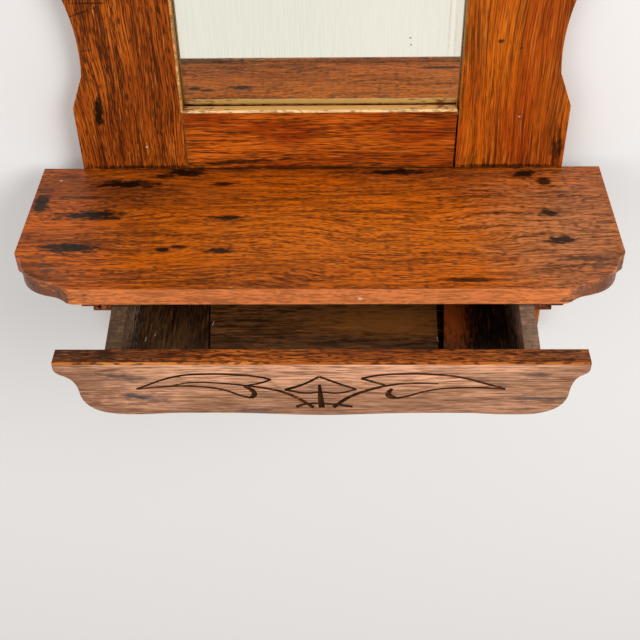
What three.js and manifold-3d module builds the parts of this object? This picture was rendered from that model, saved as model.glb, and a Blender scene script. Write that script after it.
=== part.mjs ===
// Hanging wall mirror with a shaped shelf and one drawer that slides under it, in stained oak.
// Millimetres. X runs to the right, Y back towards the wall, Z up.
// The origin lies on the wall plane, on the middle line, level with the top of the shelf.
import * as THREE from 'three';
import { mergeVertices } from 'three/addons/utils/BufferGeometryUtils.js';
import Module from 'manifold-3d';

const wasm = await Module();
wasm.setup();

// ---- Driving dimensions ----------------------------------------------------------------

const FIT_GAP = 0.3; // air between two pieces that touch
const CURVE_STEPS = 10; // facets on each curved stretch of an outline

// Mirror frame
const FRAME_THICKNESS = 20;
const STILE_WIDTH = 97.5;
const SIGHT_WIDTH = 245; // visible mirror between the stiles
const SIGHT_HEIGHT = 347;
const RAIL_ABOVE_SHELF = 59.5; // strip of the bottom rail that shows above the shelf
const FRAME_BELOW_SHELF = 232; // the frame runs on down behind the drawer
const FRAME_CORNER_HOLLOW = 22; // quarter hollow sawn out of each lower corner
const BOTTOM_ARCH_WIDTH = 170;
const BOTTOM_ARCH_RISE = 13;

// Scroll-sawn outer edge of a stile, from the shelf upwards
const POINT_HEIGHT = 63; // lower point, full stile width
const NECK_HEIGHT = 95; // where the slanted cut meets the hollow
const HOLLOW_WAIST_HEIGHT = 118;
const HOLLOW_WAIST_INSET = 13.8;
const HOLLOW_RADIUS = 180;
const EAR_HEIGHT = 210;
const EAR_BLUNT = 7;
const UPPER_NECK_INSET = 3;
const UPPER_NECK_RISE = 33;
const UPPER_HOLLOW_INSET = 7.5; // depth of the long hollow between the ears
const SHOULDER_DROP = 8.5; // shoulder below the top of the visible mirror
const SHOULDER_OUT = 8;
const SHOULDER_BLUNT = 7;
const SHOULDER_TOP_INSET = 20;
const SHOULDER_TOP_RISE = 34;
const CREST_FOOT_RISE = 48.5; // height of the crest above the sight line where it meets the stiles
const CREST_SHOULDER_HALF = 64;
const CREST_SHOULDER_RISE = 73.5;
const CREST_STEP = 7;
const CREST_RISE = 96.5; // height of the crest above the sight line at its middle

// Joints of the frame
const REBATE_LAP = 8; // how far the glass runs behind the frame
const REBATE_LIP = 9; // wood left in front of the glass
const TENON_LENGTH = 30;
const TENON_THICKNESS = 7;
const MORTISE_CLEARANCE = 0.4;
const OPEN_JOINT_TOP = 1.6; // the right joint of the bottom rail has shrunk open
const OPEN_JOINT_BOTTOM = 5.5;

// Glass and backboard
const GLASS_THICKNESS = 3;
const BACKBOARD_THICKNESS = 6;
const GLASS_CLEARANCE = 1;

// Shelf
const SHELF_WIDTH = 510.4;
const SHELF_SHIFT = -1.2; // the shelf sits this far right of the frame's middle
const SHELF_DEPTH = 175;
const SHELF_THICKNESS = 16;
const SCREW_SPREAD_INNER = 60;
const SCREW_SPREAD_OUTER = 172;
const SCREW_LENGTH = 50;
const SCREW_SHANK_RADIUS = 2.3;
const SCREW_HEAD_RADIUS = 4.6;
const SCREW_HEAD_DEPTH = 3;
const SCREW_SLOT_WIDTH = 1.2;
const SCREW_SLOT_DEPTH = 1.1;
const SCREW_SIDES = 20;

// Drawer runners under the shelf
const RUNNER_SHIFT = 1.9; // the pair of runners sits this far right of the frame's middle
const RUNNER_FRONT_SETBACK = 7; // from the shelf's front edge
const RUNNER_BLOCK_INSET = 57.2; // from the shelf's end
const RUNNER_BLOCK_HEIGHT = 8.6;
const RUNNER_PLAY = 1.6; // air beside the drawer's flange
const RUNNER_LIP_WIDTH = 14;
const RUNNER_LIP_THICKNESS = 4.2;
const RUNNER_LIP_PLAY = 2.6; // air between a lip and the drawer's side
const RUNNER_NOSE = 2.5; // rounded arris at the front ends

// Drawer
const DRAWER_LEAN = 1; // the drawer sits this far right of the middle of its runners
const DRAWER_PULLED_OUT = 50; // how far it stands open in the rest pose
const DRAWER_FRONT_PROUD = 10; // the closed front stands this far past the shelf edge
const DRAWER_TOP_DROP = 25; // top of the front below the shelf top
const DRAWER_FRONT_THICKNESS = 16;
const DRAWER_FRONT_INSET = 45.1; // from the shelf's end to the front's end
const DRAWER_FOOT_SHIFT = 2; // the sawn lower edge of the front sits this far right of its ears
const DRAWER_FRONT_HEIGHT = 57.8;
const DRAWER_SIDE_INSET = 83.2; // from the shelf's end to a side's outer face
const DRAWER_SIDE_THICKNESS = 12.6;
const DRAWER_SIDE_FRONT_HEIGHT = 48; // at the front, before the top edge slopes up
const DRAWER_SIDE_DROP = 1; // sides start this far below the front's top edge
const DRAWER_SIDE_SLOPE = 43.5; // length of the sloping stretch behind the front
const DRAWER_UNDER_SHELF = 2.2; // air between the shelf and the sides' level top edges
const DRAWER_LENGTH = 161; // from the front's back face to the rear ends of the sides
const DRAWER_HOUSING_DEPTH = 5; // slots in the front's back face
const DRAWER_HOUSING_STOP = 3.5; // wood left above each slot
const DRAWER_BACK_THICKNESS = 9;
const DRAWER_BACK_INSET = 6;
const DRAWER_BACK_DROP = 12;
const DRAWER_BACK_HOUSING = 4;
const DRAWER_FLOOR_THICKNESS = 6;
const DRAWER_FLANGE_WIDTH = 9;
const DRAWER_FLANGE_HEIGHT = 6.3;
const DRAWER_FLANGE_LENGTH = 115;

// Floor boards of the drawer, half-lapped. Each joint has an X and an open width, rear and front.
const LEFT_JOINT = { rear: -107, front: -94, rearGap: 0.4, frontGap: 2.2 };
const RIGHT_JOINT = { rear: 101.6, front: 95.6, rearGap: 8.5, frontGap: 2.5 };
const FLOOR_LAP = 4; // how far a lower lip runs on under the next board
const FLOOR_LIP_THICKNESS = 2.4;

// Hanger plates let into the back of the stiles
const HANGER_WIDTH = 18;
const HANGER_LENGTH = 44;
const HANGER_THICKNESS = 1.6;
const HANGER_EYE_RADIUS = 4.5;
const HANGER_SLOT_HALF = 2.2;
const HANGER_SLOT_LENGTH = 15;
const HANGER_BELOW_SIGHT_TOP = 26;
const HANGER_POCKET_DEPTH = 9;

// ---- Sizes worked out from them --------------------------------------------------------

const sightHalf = SIGHT_WIDTH / 2;
const stileOuter = sightHalf + STILE_WIDTH;
const sightBottom = RAIL_ABOVE_SHELF;
const sightTop = sightBottom + SIGHT_HEIGHT;
const frameBottom = -FRAME_BELOW_SHELF;
const frameFront = -FRAME_THICKNESS;
const rebateFloor = frameFront + REBATE_LIP;
const crestFoot = sightTop + CREST_FOOT_RISE;
const shelfBack = frameFront - FIT_GAP;
const shelfFront = frameFront - SHELF_DEPTH;
const shelfUnder = -SHELF_THICKNESS;
const drawerFrontFace = shelfFront - DRAWER_FRONT_PROUD - DRAWER_PULLED_OUT;
const drawerFrontBack = drawerFrontFace + DRAWER_FRONT_THICKNESS;
const drawerRear = drawerFrontBack + DRAWER_LENGTH;
const drawerTop = -DRAWER_TOP_DROP;
const sideFrontTop = drawerTop - DRAWER_SIDE_DROP;
const sideTop = shelfUnder - DRAWER_UNDER_SHELF;
const sideBottom = sideFrontTop - DRAWER_SIDE_FRONT_HEIGHT;
const sideOuter = SHELF_WIDTH / 2 - DRAWER_SIDE_INSET;
const sideInner = sideOuter - DRAWER_SIDE_THICKNESS;
const floorTop = sideBottom - FIT_GAP;
const floorBottom = floorTop - DRAWER_FLOOR_THICKNESS;
const tenonBack = frameFront + (FRAME_THICKNESS + TENON_THICKNESS) / 2;
const tenonFront = tenonBack - TENON_THICKNESS;

// ---- Materials -------------------------------------------------------------------------

const frameOak = new THREE.MeshStandardMaterial({ color: '#a85a22', roughness: 0.5, metalness: 0 });
const shelfOak = new THREE.MeshStandardMaterial({ color: '#a4521f', roughness: 0.42, metalness: 0 });
const drawerFrontOak = new THREE.MeshStandardMaterial({ color: '#9c6b50', roughness: 0.55, metalness: 0 });
const drawerBoxWood = new THREE.MeshStandardMaterial({ color: '#7a5a3c', roughness: 0.8, metalness: 0 });
const backboardWood = new THREE.MeshStandardMaterial({ color: '#8a6a45', roughness: 0.85, metalness: 0 });
const silveredGlass = new THREE.MeshStandardMaterial({ color: '#dfe4e2', roughness: 0.03, metalness: 1 });
const dullSteel = new THREE.MeshStandardMaterial({ color: '#8b8780', roughness: 0.45, metalness: 1 });

// ---- Solid helpers ---------------------------------------------------------------------

// A closed geometry as a solid that can be joined and cut.
function solidFrom(geometry) {
  const bare = geometry.clone();
  bare.deleteAttribute('normal');
  bare.deleteAttribute('uv');
  const merged = mergeVertices(bare, 0.0001);
  const vertProperties = new Float32Array(merged.attributes.position.array);
  const triVerts = new Uint32Array(merged.index.array);
  return new wasm.Manifold(new wasm.Mesh({ numProp: 3, vertProperties, triVerts }));
}

function geometryFrom(solid) {
  const mesh = solid.getMesh();
  const geometry = new THREE.BufferGeometry();
  const positions = new Float32Array((mesh.vertProperties.length / mesh.numProp) * 3);
  for (let i = 0; i < positions.length / 3; i += 1) {
    positions[3 * i] = mesh.vertProperties[mesh.numProp * i];
    positions[3 * i + 1] = mesh.vertProperties[mesh.numProp * i + 1];
    positions[3 * i + 2] = mesh.vertProperties[mesh.numProp * i + 2];
  }
  geometry.setAttribute('position', new THREE.BufferAttribute(positions, 3));
  geometry.setIndex(new THREE.BufferAttribute(new Uint32Array(mesh.triVerts), 1));
  geometry.computeVertexNormals();
  return geometry;
}

function join(base, pieces) {
  return geometryFrom(pieces.reduce((solid, piece) => solid.add(solidFrom(piece)), solidFrom(base)));
}

function cut(base, cutters) {
  return geometryFrom(cutters.reduce((solid, cutter) => solid.subtract(solidFrom(cutter)), solidFrom(base)));
}

function box(x0, x1, y0, y1, z0, z1) {
  const geometry = new THREE.BoxGeometry(Math.abs(x1 - x0), Math.abs(y1 - y0), Math.abs(z1 - z0));
  geometry.translate((x0 + x1) / 2, (y0 + y1) / 2, (z0 + z1) / 2);
  return geometry;
}

// Points of a path, on the right-hand side as drawn or mirrored to the left.
function sidePoints(path, side) {
  return path.getPoints(CURVE_STEPS).map((point) => new THREE.Vector2(side * point.x, point.y));
}

// A closed shape from the right half of a symmetric outline, drawn from middle line to middle line.
function mirroredShape(path) {
  return twoSidedShape(path, path);
}

// Closed shape from two halves drawn alike, the second one flipped over to the left.
function twoSidedShape(rightPath, leftPath) {
  const right = rightPath.getPoints(CURVE_STEPS);
  const left = leftPath.getPoints(CURVE_STEPS).filter((point) => point.x > 0.01).reverse();
  return new THREE.Shape([...right, ...left.map((point) => new THREE.Vector2(-point.x, point.y))]);
}

function extrude(shape, depth) {
  return new THREE.ExtrudeGeometry(shape, { depth, bevelEnabled: false, curveSegments: CURVE_STEPS });
}

// Board drawn in X and Z, standing up, from its back face forwards.
function uprightBoard(shape, yBack, thickness) {
  const geometry = extrude(shape, thickness);
  const across = new THREE.Vector3(1, 0, 0);
  const up = new THREE.Vector3(0, 0, 1);
  const forwards = new THREE.Vector3(0, -1, 0);
  geometry.applyMatrix4(new THREE.Matrix4().makeBasis(across, up, forwards));
  geometry.translate(0, yBack, 0);
  return geometry;
}

// Board drawn in X and Y, lying flat, from its underside up.
function flatBoard(shape, zBottom, thickness) {
  const geometry = extrude(shape, thickness);
  geometry.translate(0, 0, zBottom);
  return geometry;
}

// Strip drawn in Y and Z and run along X.
function crossStrip(shape, x0, x1) {
  const geometry = extrude(shape, Math.abs(x1 - x0));
  const back = new THREE.Vector3(0, 1, 0);
  const up = new THREE.Vector3(0, 0, 1);
  const right = new THREE.Vector3(1, 0, 0);
  geometry.applyMatrix4(new THREE.Matrix4().makeBasis(back, up, right));
  geometry.translate(Math.min(x0, x1), 0, 0);
  return geometry;
}

function piece(name, geometry, material) {
  const mesh = new THREE.Mesh(geometry, material);
  mesh.name = name;
  return mesh;
}

// ---- Mirror frame ----------------------------------------------------------------------

// Outer edge of a stile: hollow corner, straight side, point, hollow, ear, long hollow, shoulder.
function stileOutline() {
  const waist = stileOuter - HOLLOW_WAIST_INSET;
  const hollowCentre = waist + HOLLOW_RADIUS;
  const neckAngle = Math.asin((NECK_HEIGHT - HOLLOW_WAIST_HEIGHT) / HOLLOW_RADIUS);
  const earAngle = Math.asin((EAR_HEIGHT - HOLLOW_WAIST_HEIGHT) / HOLLOW_RADIUS);
  const earOut = hollowCentre - HOLLOW_RADIUS * Math.cos(earAngle);
  const upperNeck = stileOuter - UPPER_NECK_INSET;
  const upperNeckHeight = EAR_HEIGHT + EAR_BLUNT + UPPER_NECK_RISE;
  const shoulder = sightTop - SHOULDER_DROP;
  const upperHollowTop = shoulder - UPPER_NECK_RISE / 2;
  const shoulderOut = stileOuter + SHOULDER_OUT;
  const shoulderTop = shoulder + SHOULDER_BLUNT + SHOULDER_TOP_RISE;
  const shoulderInner = stileOuter - SHOULDER_TOP_INSET;
  const path = new THREE.Path();
  path.moveTo(sightHalf, frameBottom);
  path.lineTo(stileOuter - FRAME_CORNER_HOLLOW, frameBottom);
  path.absarc(stileOuter, frameBottom, FRAME_CORNER_HOLLOW, Math.PI, Math.PI / 2, true);
  path.lineTo(stileOuter, POINT_HEIGHT);
  path.absarc(
    hollowCentre,
    HOLLOW_WAIST_HEIGHT,
    HOLLOW_RADIUS,
    Math.PI - neckAngle,
    Math.PI - earAngle,
    true,
  );
  path.lineTo(earOut, EAR_HEIGHT + EAR_BLUNT);
  path.lineTo(upperNeck, upperNeckHeight);
  path.quadraticCurveTo(
    upperNeck - 2 * UPPER_HOLLOW_INSET,
    (upperNeckHeight + upperHollowTop) / 2,
    upperNeck,
    upperHollowTop,
  );
  path.lineTo(shoulderOut, shoulder);
  path.lineTo(shoulderOut, shoulder + SHOULDER_BLUNT);
  path.quadraticCurveTo(shoulderOut, shoulderTop, shoulderInner, shoulderTop);
  path.lineTo(shoulderInner, shoulderTop + CREST_STEP);
  path.quadraticCurveTo(
    (shoulderInner + sightHalf) / 2 + CREST_STEP,
    shoulderTop + CREST_STEP,
    sightHalf,
    crestFoot,
  );
  return path;
}

// Heights of the tenons on one end of a rail, as pairs of bottom and top.
const bottomTenons = [
  [frameBottom + FRAME_BELOW_SHELF * 0.12, frameBottom + FRAME_BELOW_SHELF * 0.42],
  [frameBottom + FRAME_BELOW_SHELF * 0.58, frameBottom + FRAME_BELOW_SHELF * 0.9],
  [shelfUnder, sightBottom - REBATE_LAP - 5],
];
const crestTenons = [[sightTop + REBATE_LAP + 4, crestFoot - 10]];

function tenons(side, spans, shoulder) {
  const tip = side * (sightHalf + TENON_LENGTH);
  return spans.map(([low, high]) => box(side * shoulder, tip, tenonFront, tenonBack, low, high));
}

function mortises(side, spans) {
  const c = MORTISE_CLEARANCE;
  const mouth = side * (sightHalf - 1);
  const end = side * (sightHalf + TENON_LENGTH + c);
  return spans.map(([low, high]) => box(mouth, end, tenonFront - c, tenonBack + c, low - c, high + c));
}

// Groove along the inner edge of the frame that takes the glass and its backboard.
function rebateCutter() {
  const reach = sightHalf + REBATE_LAP;
  return box(-reach, reach, rebateFloor, 1, sightBottom - REBATE_LAP, sightTop + REBATE_LAP);
}

function hangerOutline(grow) {
  const half = HANGER_WIDTH / 2 + grow;
  const straight = HANGER_LENGTH / 2 - HANGER_WIDTH / 2;
  const path = new THREE.Path();
  path.absarc(0, straight, half, 0, Math.PI, false);
  path.absarc(0, -straight, half, Math.PI, 2 * Math.PI, false);
  return new THREE.Shape(path.getPoints(CURVE_STEPS));
}

const hangerX = (sightHalf + REBATE_LAP + stileOuter) / 2;
const hangerZ = sightTop - HANGER_BELOW_SIGHT_TOP;

// Recess for a hanger plate, with a deeper pocket behind its eye and slot.
function hangerRecess(side) {
  const bed = uprightBoard(hangerOutline(FIT_GAP), 1, HANGER_THICKNESS + 1 + FIT_GAP);
  bed.translate(side * hangerX, 0, hangerZ);
  const pocket = box(
    side * hangerX - HANGER_EYE_RADIUS,
    side * hangerX + HANGER_EYE_RADIUS,
    -HANGER_POCKET_DEPTH,
    1,
    hangerZ - HANGER_EYE_RADIUS,
    hangerZ + HANGER_SLOT_LENGTH,
  );
  return [bed, pocket];
}

function makeStile(name, side) {
  const board = uprightBoard(new THREE.Shape(sidePoints(stileOutline(), side)), 0, FRAME_THICKNESS);
  const cutters = [
    rebateCutter(),
    ...mortises(side, bottomTenons),
    ...mortises(side, crestTenons),
    ...hangerRecess(side),
    ...screwClearance(side * SCREW_SPREAD_OUTER),
  ];
  return piece(name, cut(board, cutters), frameOak);
}

// One wide board with its grain across. It shows above the shelf and runs on down behind the drawer.
function makeBottomRail() {
  const left = -sightHalf + FIT_GAP;
  const path = new THREE.Shape();
  path.moveTo(left, frameBottom);
  path.lineTo(-BOTTOM_ARCH_WIDTH / 2, frameBottom);
  path.quadraticCurveTo(0, frameBottom + 2 * BOTTOM_ARCH_RISE, BOTTOM_ARCH_WIDTH / 2, frameBottom);
  path.lineTo(sightHalf - OPEN_JOINT_BOTTOM, frameBottom);
  path.lineTo(sightHalf - OPEN_JOINT_TOP, sightBottom);
  path.lineTo(left, sightBottom);
  const board = uprightBoard(path, 0, FRAME_THICKNESS);
  const shoulder = sightHalf - OPEN_JOINT_BOTTOM - 1;
  const joined = join(board, [...tenons(-1, bottomTenons, shoulder), ...tenons(1, bottomTenons, shoulder)]);
  const holes = [...screwClearance(-SCREW_SPREAD_INNER), ...screwClearance(SCREW_SPREAD_INNER)];
  return piece('bottom_rail', cut(joined, [rebateCutter(), ...holes]), frameOak);
}

function makeCrestRail() {
  const half = sightHalf - FIT_GAP;
  const path = new THREE.Path();
  path.moveTo(0, sightTop);
  path.lineTo(half, sightTop);
  path.lineTo(half, crestFoot);
  path.quadraticCurveTo(
    (half + CREST_SHOULDER_HALF) / 2,
    (crestFoot + sightTop + CREST_SHOULDER_RISE) / 2 - CREST_STEP / 3,
    CREST_SHOULDER_HALF,
    sightTop + CREST_SHOULDER_RISE,
  );
  path.lineTo(CREST_SHOULDER_HALF, sightTop + CREST_SHOULDER_RISE + CREST_STEP);
  path.quadraticCurveTo(CREST_SHOULDER_HALF * 0.6, sightTop + CREST_RISE, 0, sightTop + CREST_RISE);
  const board = uprightBoard(mirroredShape(path), 0, FRAME_THICKNESS);
  const joined = join(board, [...tenons(-1, crestTenons, half - 1), ...tenons(1, crestTenons, half - 1)]);
  return piece('crest_rail', cut(joined, [rebateCutter()]), frameOak);
}

function makeMirrorGlass() {
  const half = sightHalf + REBATE_LAP - GLASS_CLEARANCE;
  const low = sightBottom - REBATE_LAP + GLASS_CLEARANCE;
  const high = sightTop + REBATE_LAP - GLASS_CLEARANCE;
  const front = rebateFloor + FIT_GAP;
  return piece('mirror_glass', box(-half, half, front, front + GLASS_THICKNESS, low, high), silveredGlass);
}

function makeBackboard() {
  const half = sightHalf + REBATE_LAP - GLASS_CLEARANCE / 2;
  const low = sightBottom - REBATE_LAP + GLASS_CLEARANCE / 2;
  const high = sightTop + REBATE_LAP - GLASS_CLEARANCE / 2;
  const front = rebateFloor + FIT_GAP + GLASS_THICKNESS + FIT_GAP;
  const board = box(-half, half, front, front + BACKBOARD_THICKNESS, low, high);
  return piece('mirror_backboard', board, backboardWood);
}

// Flush steel plate with a round eye that narrows to a slot above it.
function makeHangerPlate(name, side) {
  const shape = hangerOutline(0);
  const eye = new THREE.Path();
  const open = Math.asin(HANGER_SLOT_HALF / HANGER_EYE_RADIUS);
  eye.absarc(0, 0, HANGER_EYE_RADIUS, Math.PI / 2 + open, 5 * Math.PI / 2 - open, false);
  eye.absarc(0, HANGER_SLOT_LENGTH - HANGER_SLOT_HALF, HANGER_SLOT_HALF, 0, Math.PI, false);
  eye.closePath();
  shape.holes.push(new THREE.Path(eye.getPoints(CURVE_STEPS)));
  const plate = uprightBoard(shape, 0, HANGER_THICKNESS);
  plate.translate(side * hangerX, 0, hangerZ);
  return piece(name, plate, dullSteel);
}

// ---- Shelf -----------------------------------------------------------------------------

// Plan of the shelf, right half from the back: straight side, nose, cove, round, cove, nose.
function shelfOutline() {
  const half = SHELF_WIDTH / 2;
  const path = new THREE.Path();
  path.moveTo(0, shelfBack);
  path.lineTo(half, shelfBack);
  path.lineTo(half, shelfFront + 49.5);
  path.quadraticCurveTo(half, shelfFront + 45.5, half - 2.5, shelfFront + 43.3);
  path.quadraticCurveTo(half - 6.6, shelfFront + 40.2, half - 7.6, shelfFront + 36.5);
  path.quadraticCurveTo(half - 12, shelfFront + 15.5, half - 36, shelfFront + 10);
  path.quadraticCurveTo(half - 42.5, shelfFront + 8.5, half - 47.5, shelfFront + 4);
  path.quadraticCurveTo(half - 51.5, shelfFront, half - 57, shelfFront);
  path.lineTo(0, shelfFront);
  return path;
}

const screwHeight = -SHELF_THICKNESS / 2;
const screwPositions = [-SCREW_SPREAD_OUTER, -SCREW_SPREAD_INNER, SCREW_SPREAD_INNER, SCREW_SPREAD_OUTER];
const screwSeat = -0.6; // back face of a screw head, just inside the wood

// Screw hole along Y, starting behind the wall plane.
function screwHole(x, radius, from, to) {
  const hole = new THREE.CylinderGeometry(radius, radius, Math.abs(to - from), SCREW_SIDES);
  hole.translate(x, (from + to) / 2, screwHeight);
  return hole;
}

// CylinderGeometry runs along Y, so a hole needs no turning, only moving.
function screwClearance(x) {
  return [
    screwHole(x, SCREW_SHANK_RADIUS + FIT_GAP, 1, frameFront - 1),
    screwHole(x, SCREW_HEAD_RADIUS + FIT_GAP, 1, screwSeat - SCREW_HEAD_DEPTH - FIT_GAP),
  ];
}

function makeShelf() {
  const board = flatBoard(mirroredShape(shelfOutline()), shelfUnder, SHELF_THICKNESS);
  board.translate(SHELF_SHIFT, 0, 0);
  const tip = screwSeat - SCREW_LENGTH - 1;
  const holes = screwPositions.map((x) => screwHole(x, SCREW_SHANK_RADIUS + FIT_GAP, shelfBack + 1, tip));
  return piece('shelf', cut(board, holes), shelfOak);
}

// Slotted wood screw driven from behind through the frame into the back edge of the shelf.
function makeShelfScrew(name, x) {
  const head = screwSeat - SCREW_HEAD_DEPTH;
  const tip = screwSeat - SCREW_LENGTH;
  const profile = [
    new THREE.Vector2(0, tip),
    new THREE.Vector2(SCREW_SHANK_RADIUS, tip + 2 * SCREW_SHANK_RADIUS),
    new THREE.Vector2(SCREW_SHANK_RADIUS, head),
    new THREE.Vector2(SCREW_HEAD_RADIUS, screwSeat - 0.6),
    new THREE.Vector2(SCREW_HEAD_RADIUS, screwSeat),
    new THREE.Vector2(0, screwSeat),
  ];
  const turned = new THREE.LatheGeometry(profile, SCREW_SIDES);
  const slot = box(
    -SCREW_HEAD_RADIUS - 1,
    SCREW_HEAD_RADIUS + 1,
    screwSeat - SCREW_SLOT_DEPTH,
    screwSeat + 1,
    -SCREW_SLOT_WIDTH / 2,
    SCREW_SLOT_WIDTH / 2,
  );
  const screw = piece(name, cut(turned, [slot]), dullSteel);
  screw.position.set(x, 0, screwHeight);
  return screw;
}

// ---- Runners under the shelf -----------------------------------------------------------

const blockTop = shelfUnder - FIT_GAP;
const blockBottom = blockTop - RUNNER_BLOCK_HEIGHT;
const lipTop = blockBottom - FIT_GAP;
const blockInner = sideOuter + FIT_GAP + DRAWER_FLANGE_WIDTH + RUNNER_PLAY;
const blockOuter = SHELF_WIDTH / 2 - RUNNER_BLOCK_INSET;
const lipInner = sideOuter + RUNNER_LIP_PLAY;

// Side view of a runner strip with its lower front arris rounded.
function runnerProfile(yFront, yBack, zBottom, zTop) {
  const shape = new THREE.Shape();
  shape.moveTo(yBack, zBottom);
  shape.lineTo(yBack, zTop);
  shape.lineTo(yFront, zTop);
  shape.lineTo(yFront, zBottom + RUNNER_NOSE);
  shape.quadraticCurveTo(yFront, zBottom, yFront + RUNNER_NOSE, zBottom);
  return shape;
}

function makeRunnerBlock(name, side) {
  const profile = runnerProfile(shelfFront + RUNNER_FRONT_SETBACK, shelfBack, blockBottom, blockTop);
  return piece(name, crossStrip(profile, side * blockInner, side * blockOuter), drawerBoxWood);
}

function makeRunnerLip(name, side) {
  const yFront = shelfFront + RUNNER_FRONT_SETBACK;
  const profile = runnerProfile(yFront, shelfBack, lipTop - RUNNER_LIP_THICKNESS, lipTop);
  const strip = crossStrip(profile, side * lipInner, side * (lipInner + RUNNER_LIP_WIDTH));
  return piece(name, strip, drawerBoxWood);
}

function makeRunners() {
  const runners = new THREE.Group();
  runners.add(makeRunnerBlock('runner_block_left', -1));
  runners.add(makeRunnerBlock('runner_block_right', 1));
  runners.add(makeRunnerLip('runner_lip_left', -1));
  runners.add(makeRunnerLip('runner_lip_right', 1));
  runners.position.x = RUNNER_SHIFT;
  return runners;
}

// ---- Drawer ----------------------------------------------------------------------------

// One half of the drawer front's face from the bottom: shallow scallops, round corner, cyma, ear.
// Its ears are level with the runners, not with the leaning drawer, so the halves differ a little.
function drawerFrontHalf(side) {
  const half = SHELF_WIDTH / 2 - DRAWER_FRONT_INSET - side * DRAWER_LEAN;
  const foot = half + side * DRAWER_FOOT_SHIFT;
  const low = drawerTop - DRAWER_FRONT_HEIGHT;
  const path = new THREE.Path();
  path.moveTo(0, low);
  path.bezierCurveTo(foot * 0.13, low, foot * 0.22, low + 2.5, foot * 0.4, low + 2.5);
  path.lineTo(foot * 0.53, low + 2.5);
  path.bezierCurveTo(foot * 0.6, low + 2.5, foot * 0.64, low + 0.7, foot * 0.72, low + 0.7);
  path.lineTo(foot * 0.753, low + 0.7);
  path.bezierCurveTo(foot * 0.863, low + 0.7, foot * 0.928, low + 9, foot * 0.928, low + 27);
  path.quadraticCurveTo(foot * 0.932, low + 40, half - 6.3, low + 44.2);
  path.quadraticCurveTo(half, low + 47.5, half, low + 51.3);
  path.lineTo(half, drawerTop);
  path.lineTo(0, drawerTop);
  return path;
}

// Stopped slots for the sides and a groove for the floor, in the back face of the front.
function drawerFrontHousings() {
  const depth = drawerFrontBack - DRAWER_HOUSING_DEPTH;
  const slotTop = sideFrontTop - DRAWER_HOUSING_STOP + FIT_GAP;
  const slots = [-1, 1].map((side) => box(
    side * (sideInner - FIT_GAP),
    side * (sideOuter + FIT_GAP),
    depth,
    drawerFrontBack + 1,
    floorTop,
    slotTop,
  ));
  const reach = sideOuter + FIT_GAP;
  const groove = box(-reach, reach, depth, drawerFrontBack + 1, floorBottom - FIT_GAP, floorTop + FIT_GAP);
  return [...slots, groove];
}

function makeDrawerFront() {
  const face = twoSidedShape(drawerFrontHalf(1), drawerFrontHalf(-1));
  const board = uprightBoard(face, drawerFrontBack, DRAWER_FRONT_THICKNESS);
  return piece('drawer_front', cut(board, drawerFrontHousings()), drawerFrontOak);
}

// Side board whose front end is notched to a tongue that enters the slot in the front.
// Its top edge slopes up behind the front and runs level under the shelf.
function makeDrawerSide(name, side) {
  const tongue = drawerFrontBack - DRAWER_HOUSING_DEPTH + FIT_GAP;
  const shape = new THREE.Shape();
  shape.moveTo(drawerRear, sideBottom);
  shape.lineTo(drawerRear, sideTop);
  shape.lineTo(drawerFrontBack + DRAWER_SIDE_SLOPE, sideTop);
  shape.lineTo(drawerFrontBack + FIT_GAP, sideFrontTop);
  shape.lineTo(drawerFrontBack + FIT_GAP, sideFrontTop - DRAWER_HOUSING_STOP);
  shape.lineTo(tongue, sideFrontTop - DRAWER_HOUSING_STOP);
  shape.lineTo(tongue, sideBottom);
  const board = crossStrip(shape, side * sideInner, side * sideOuter);
  const backFace = drawerRear - DRAWER_BACK_INSET;
  const housing = box(
    side * (sideInner - 1),
    side * (sideInner + DRAWER_BACK_HOUSING),
    backFace - DRAWER_BACK_THICKNESS - FIT_GAP,
    backFace + FIT_GAP,
    sideBottom - 1,
    sideTop - DRAWER_BACK_DROP + FIT_GAP,
  );
  return piece(name, cut(board, [housing]), drawerBoxWood);
}

function makeDrawerBack() {
  const half = sideInner + DRAWER_BACK_HOUSING - FIT_GAP;
  const yBack = drawerRear - DRAWER_BACK_INSET;
  const top = sideTop - DRAWER_BACK_DROP;
  const board = box(-half, half, yBack - DRAWER_BACK_THICKNESS, yBack, sideBottom, top);
  return piece('drawer_back', board, drawerBoxWood);
}

// Strip along the top outer edge of a side. It hangs the drawer on the runner lip.
function makeDrawerFlange(name, side) {
  const inner = sideOuter + FIT_GAP;
  const yFront = drawerRear - DRAWER_FLANGE_LENGTH;
  const profile = runnerProfile(yFront, drawerRear, sideTop - DRAWER_FLANGE_HEIGHT, sideTop);
  const strip = crossStrip(profile, side * inner, side * (inner + DRAWER_FLANGE_WIDTH));
  return piece(name, strip, drawerBoxWood);
}

// Slab of the floor between two lines that run from the rear to the front end.
function floorSlab(leftRear, leftFront, rightRear, rightFront, zBottom, thickness) {
  const yFront = drawerFrontBack - DRAWER_HOUSING_DEPTH + FIT_GAP;
  const shape = new THREE.Shape();
  shape.moveTo(leftRear, drawerRear);
  shape.lineTo(rightRear, drawerRear);
  shape.lineTo(rightFront, yFront);
  shape.lineTo(leftFront, yFront);
  return flatBoard(shape, zBottom, thickness);
}

// Lower lip that closes an open joint from below and runs on under the next board.
function floorLip(joint) {
  const reach = FLOOR_LAP;
  return floorSlab(
    joint.rear - 1,
    joint.front - 1,
    joint.rear + joint.rearGap + reach,
    joint.front + joint.frontGap + reach,
    floorBottom,
    FLOOR_LIP_THICKNESS,
  );
}

// Rebate under the edge of the next board, which takes that lip.
function floorRebate(joint) {
  const reach = FLOOR_LAP + FIT_GAP;
  return floorSlab(
    joint.rear,
    joint.front,
    joint.rear + joint.rearGap + reach,
    joint.front + joint.frontGap + reach,
    floorBottom - 1,
    1 + FLOOR_LIP_THICKNESS + FIT_GAP,
  );
}

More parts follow.
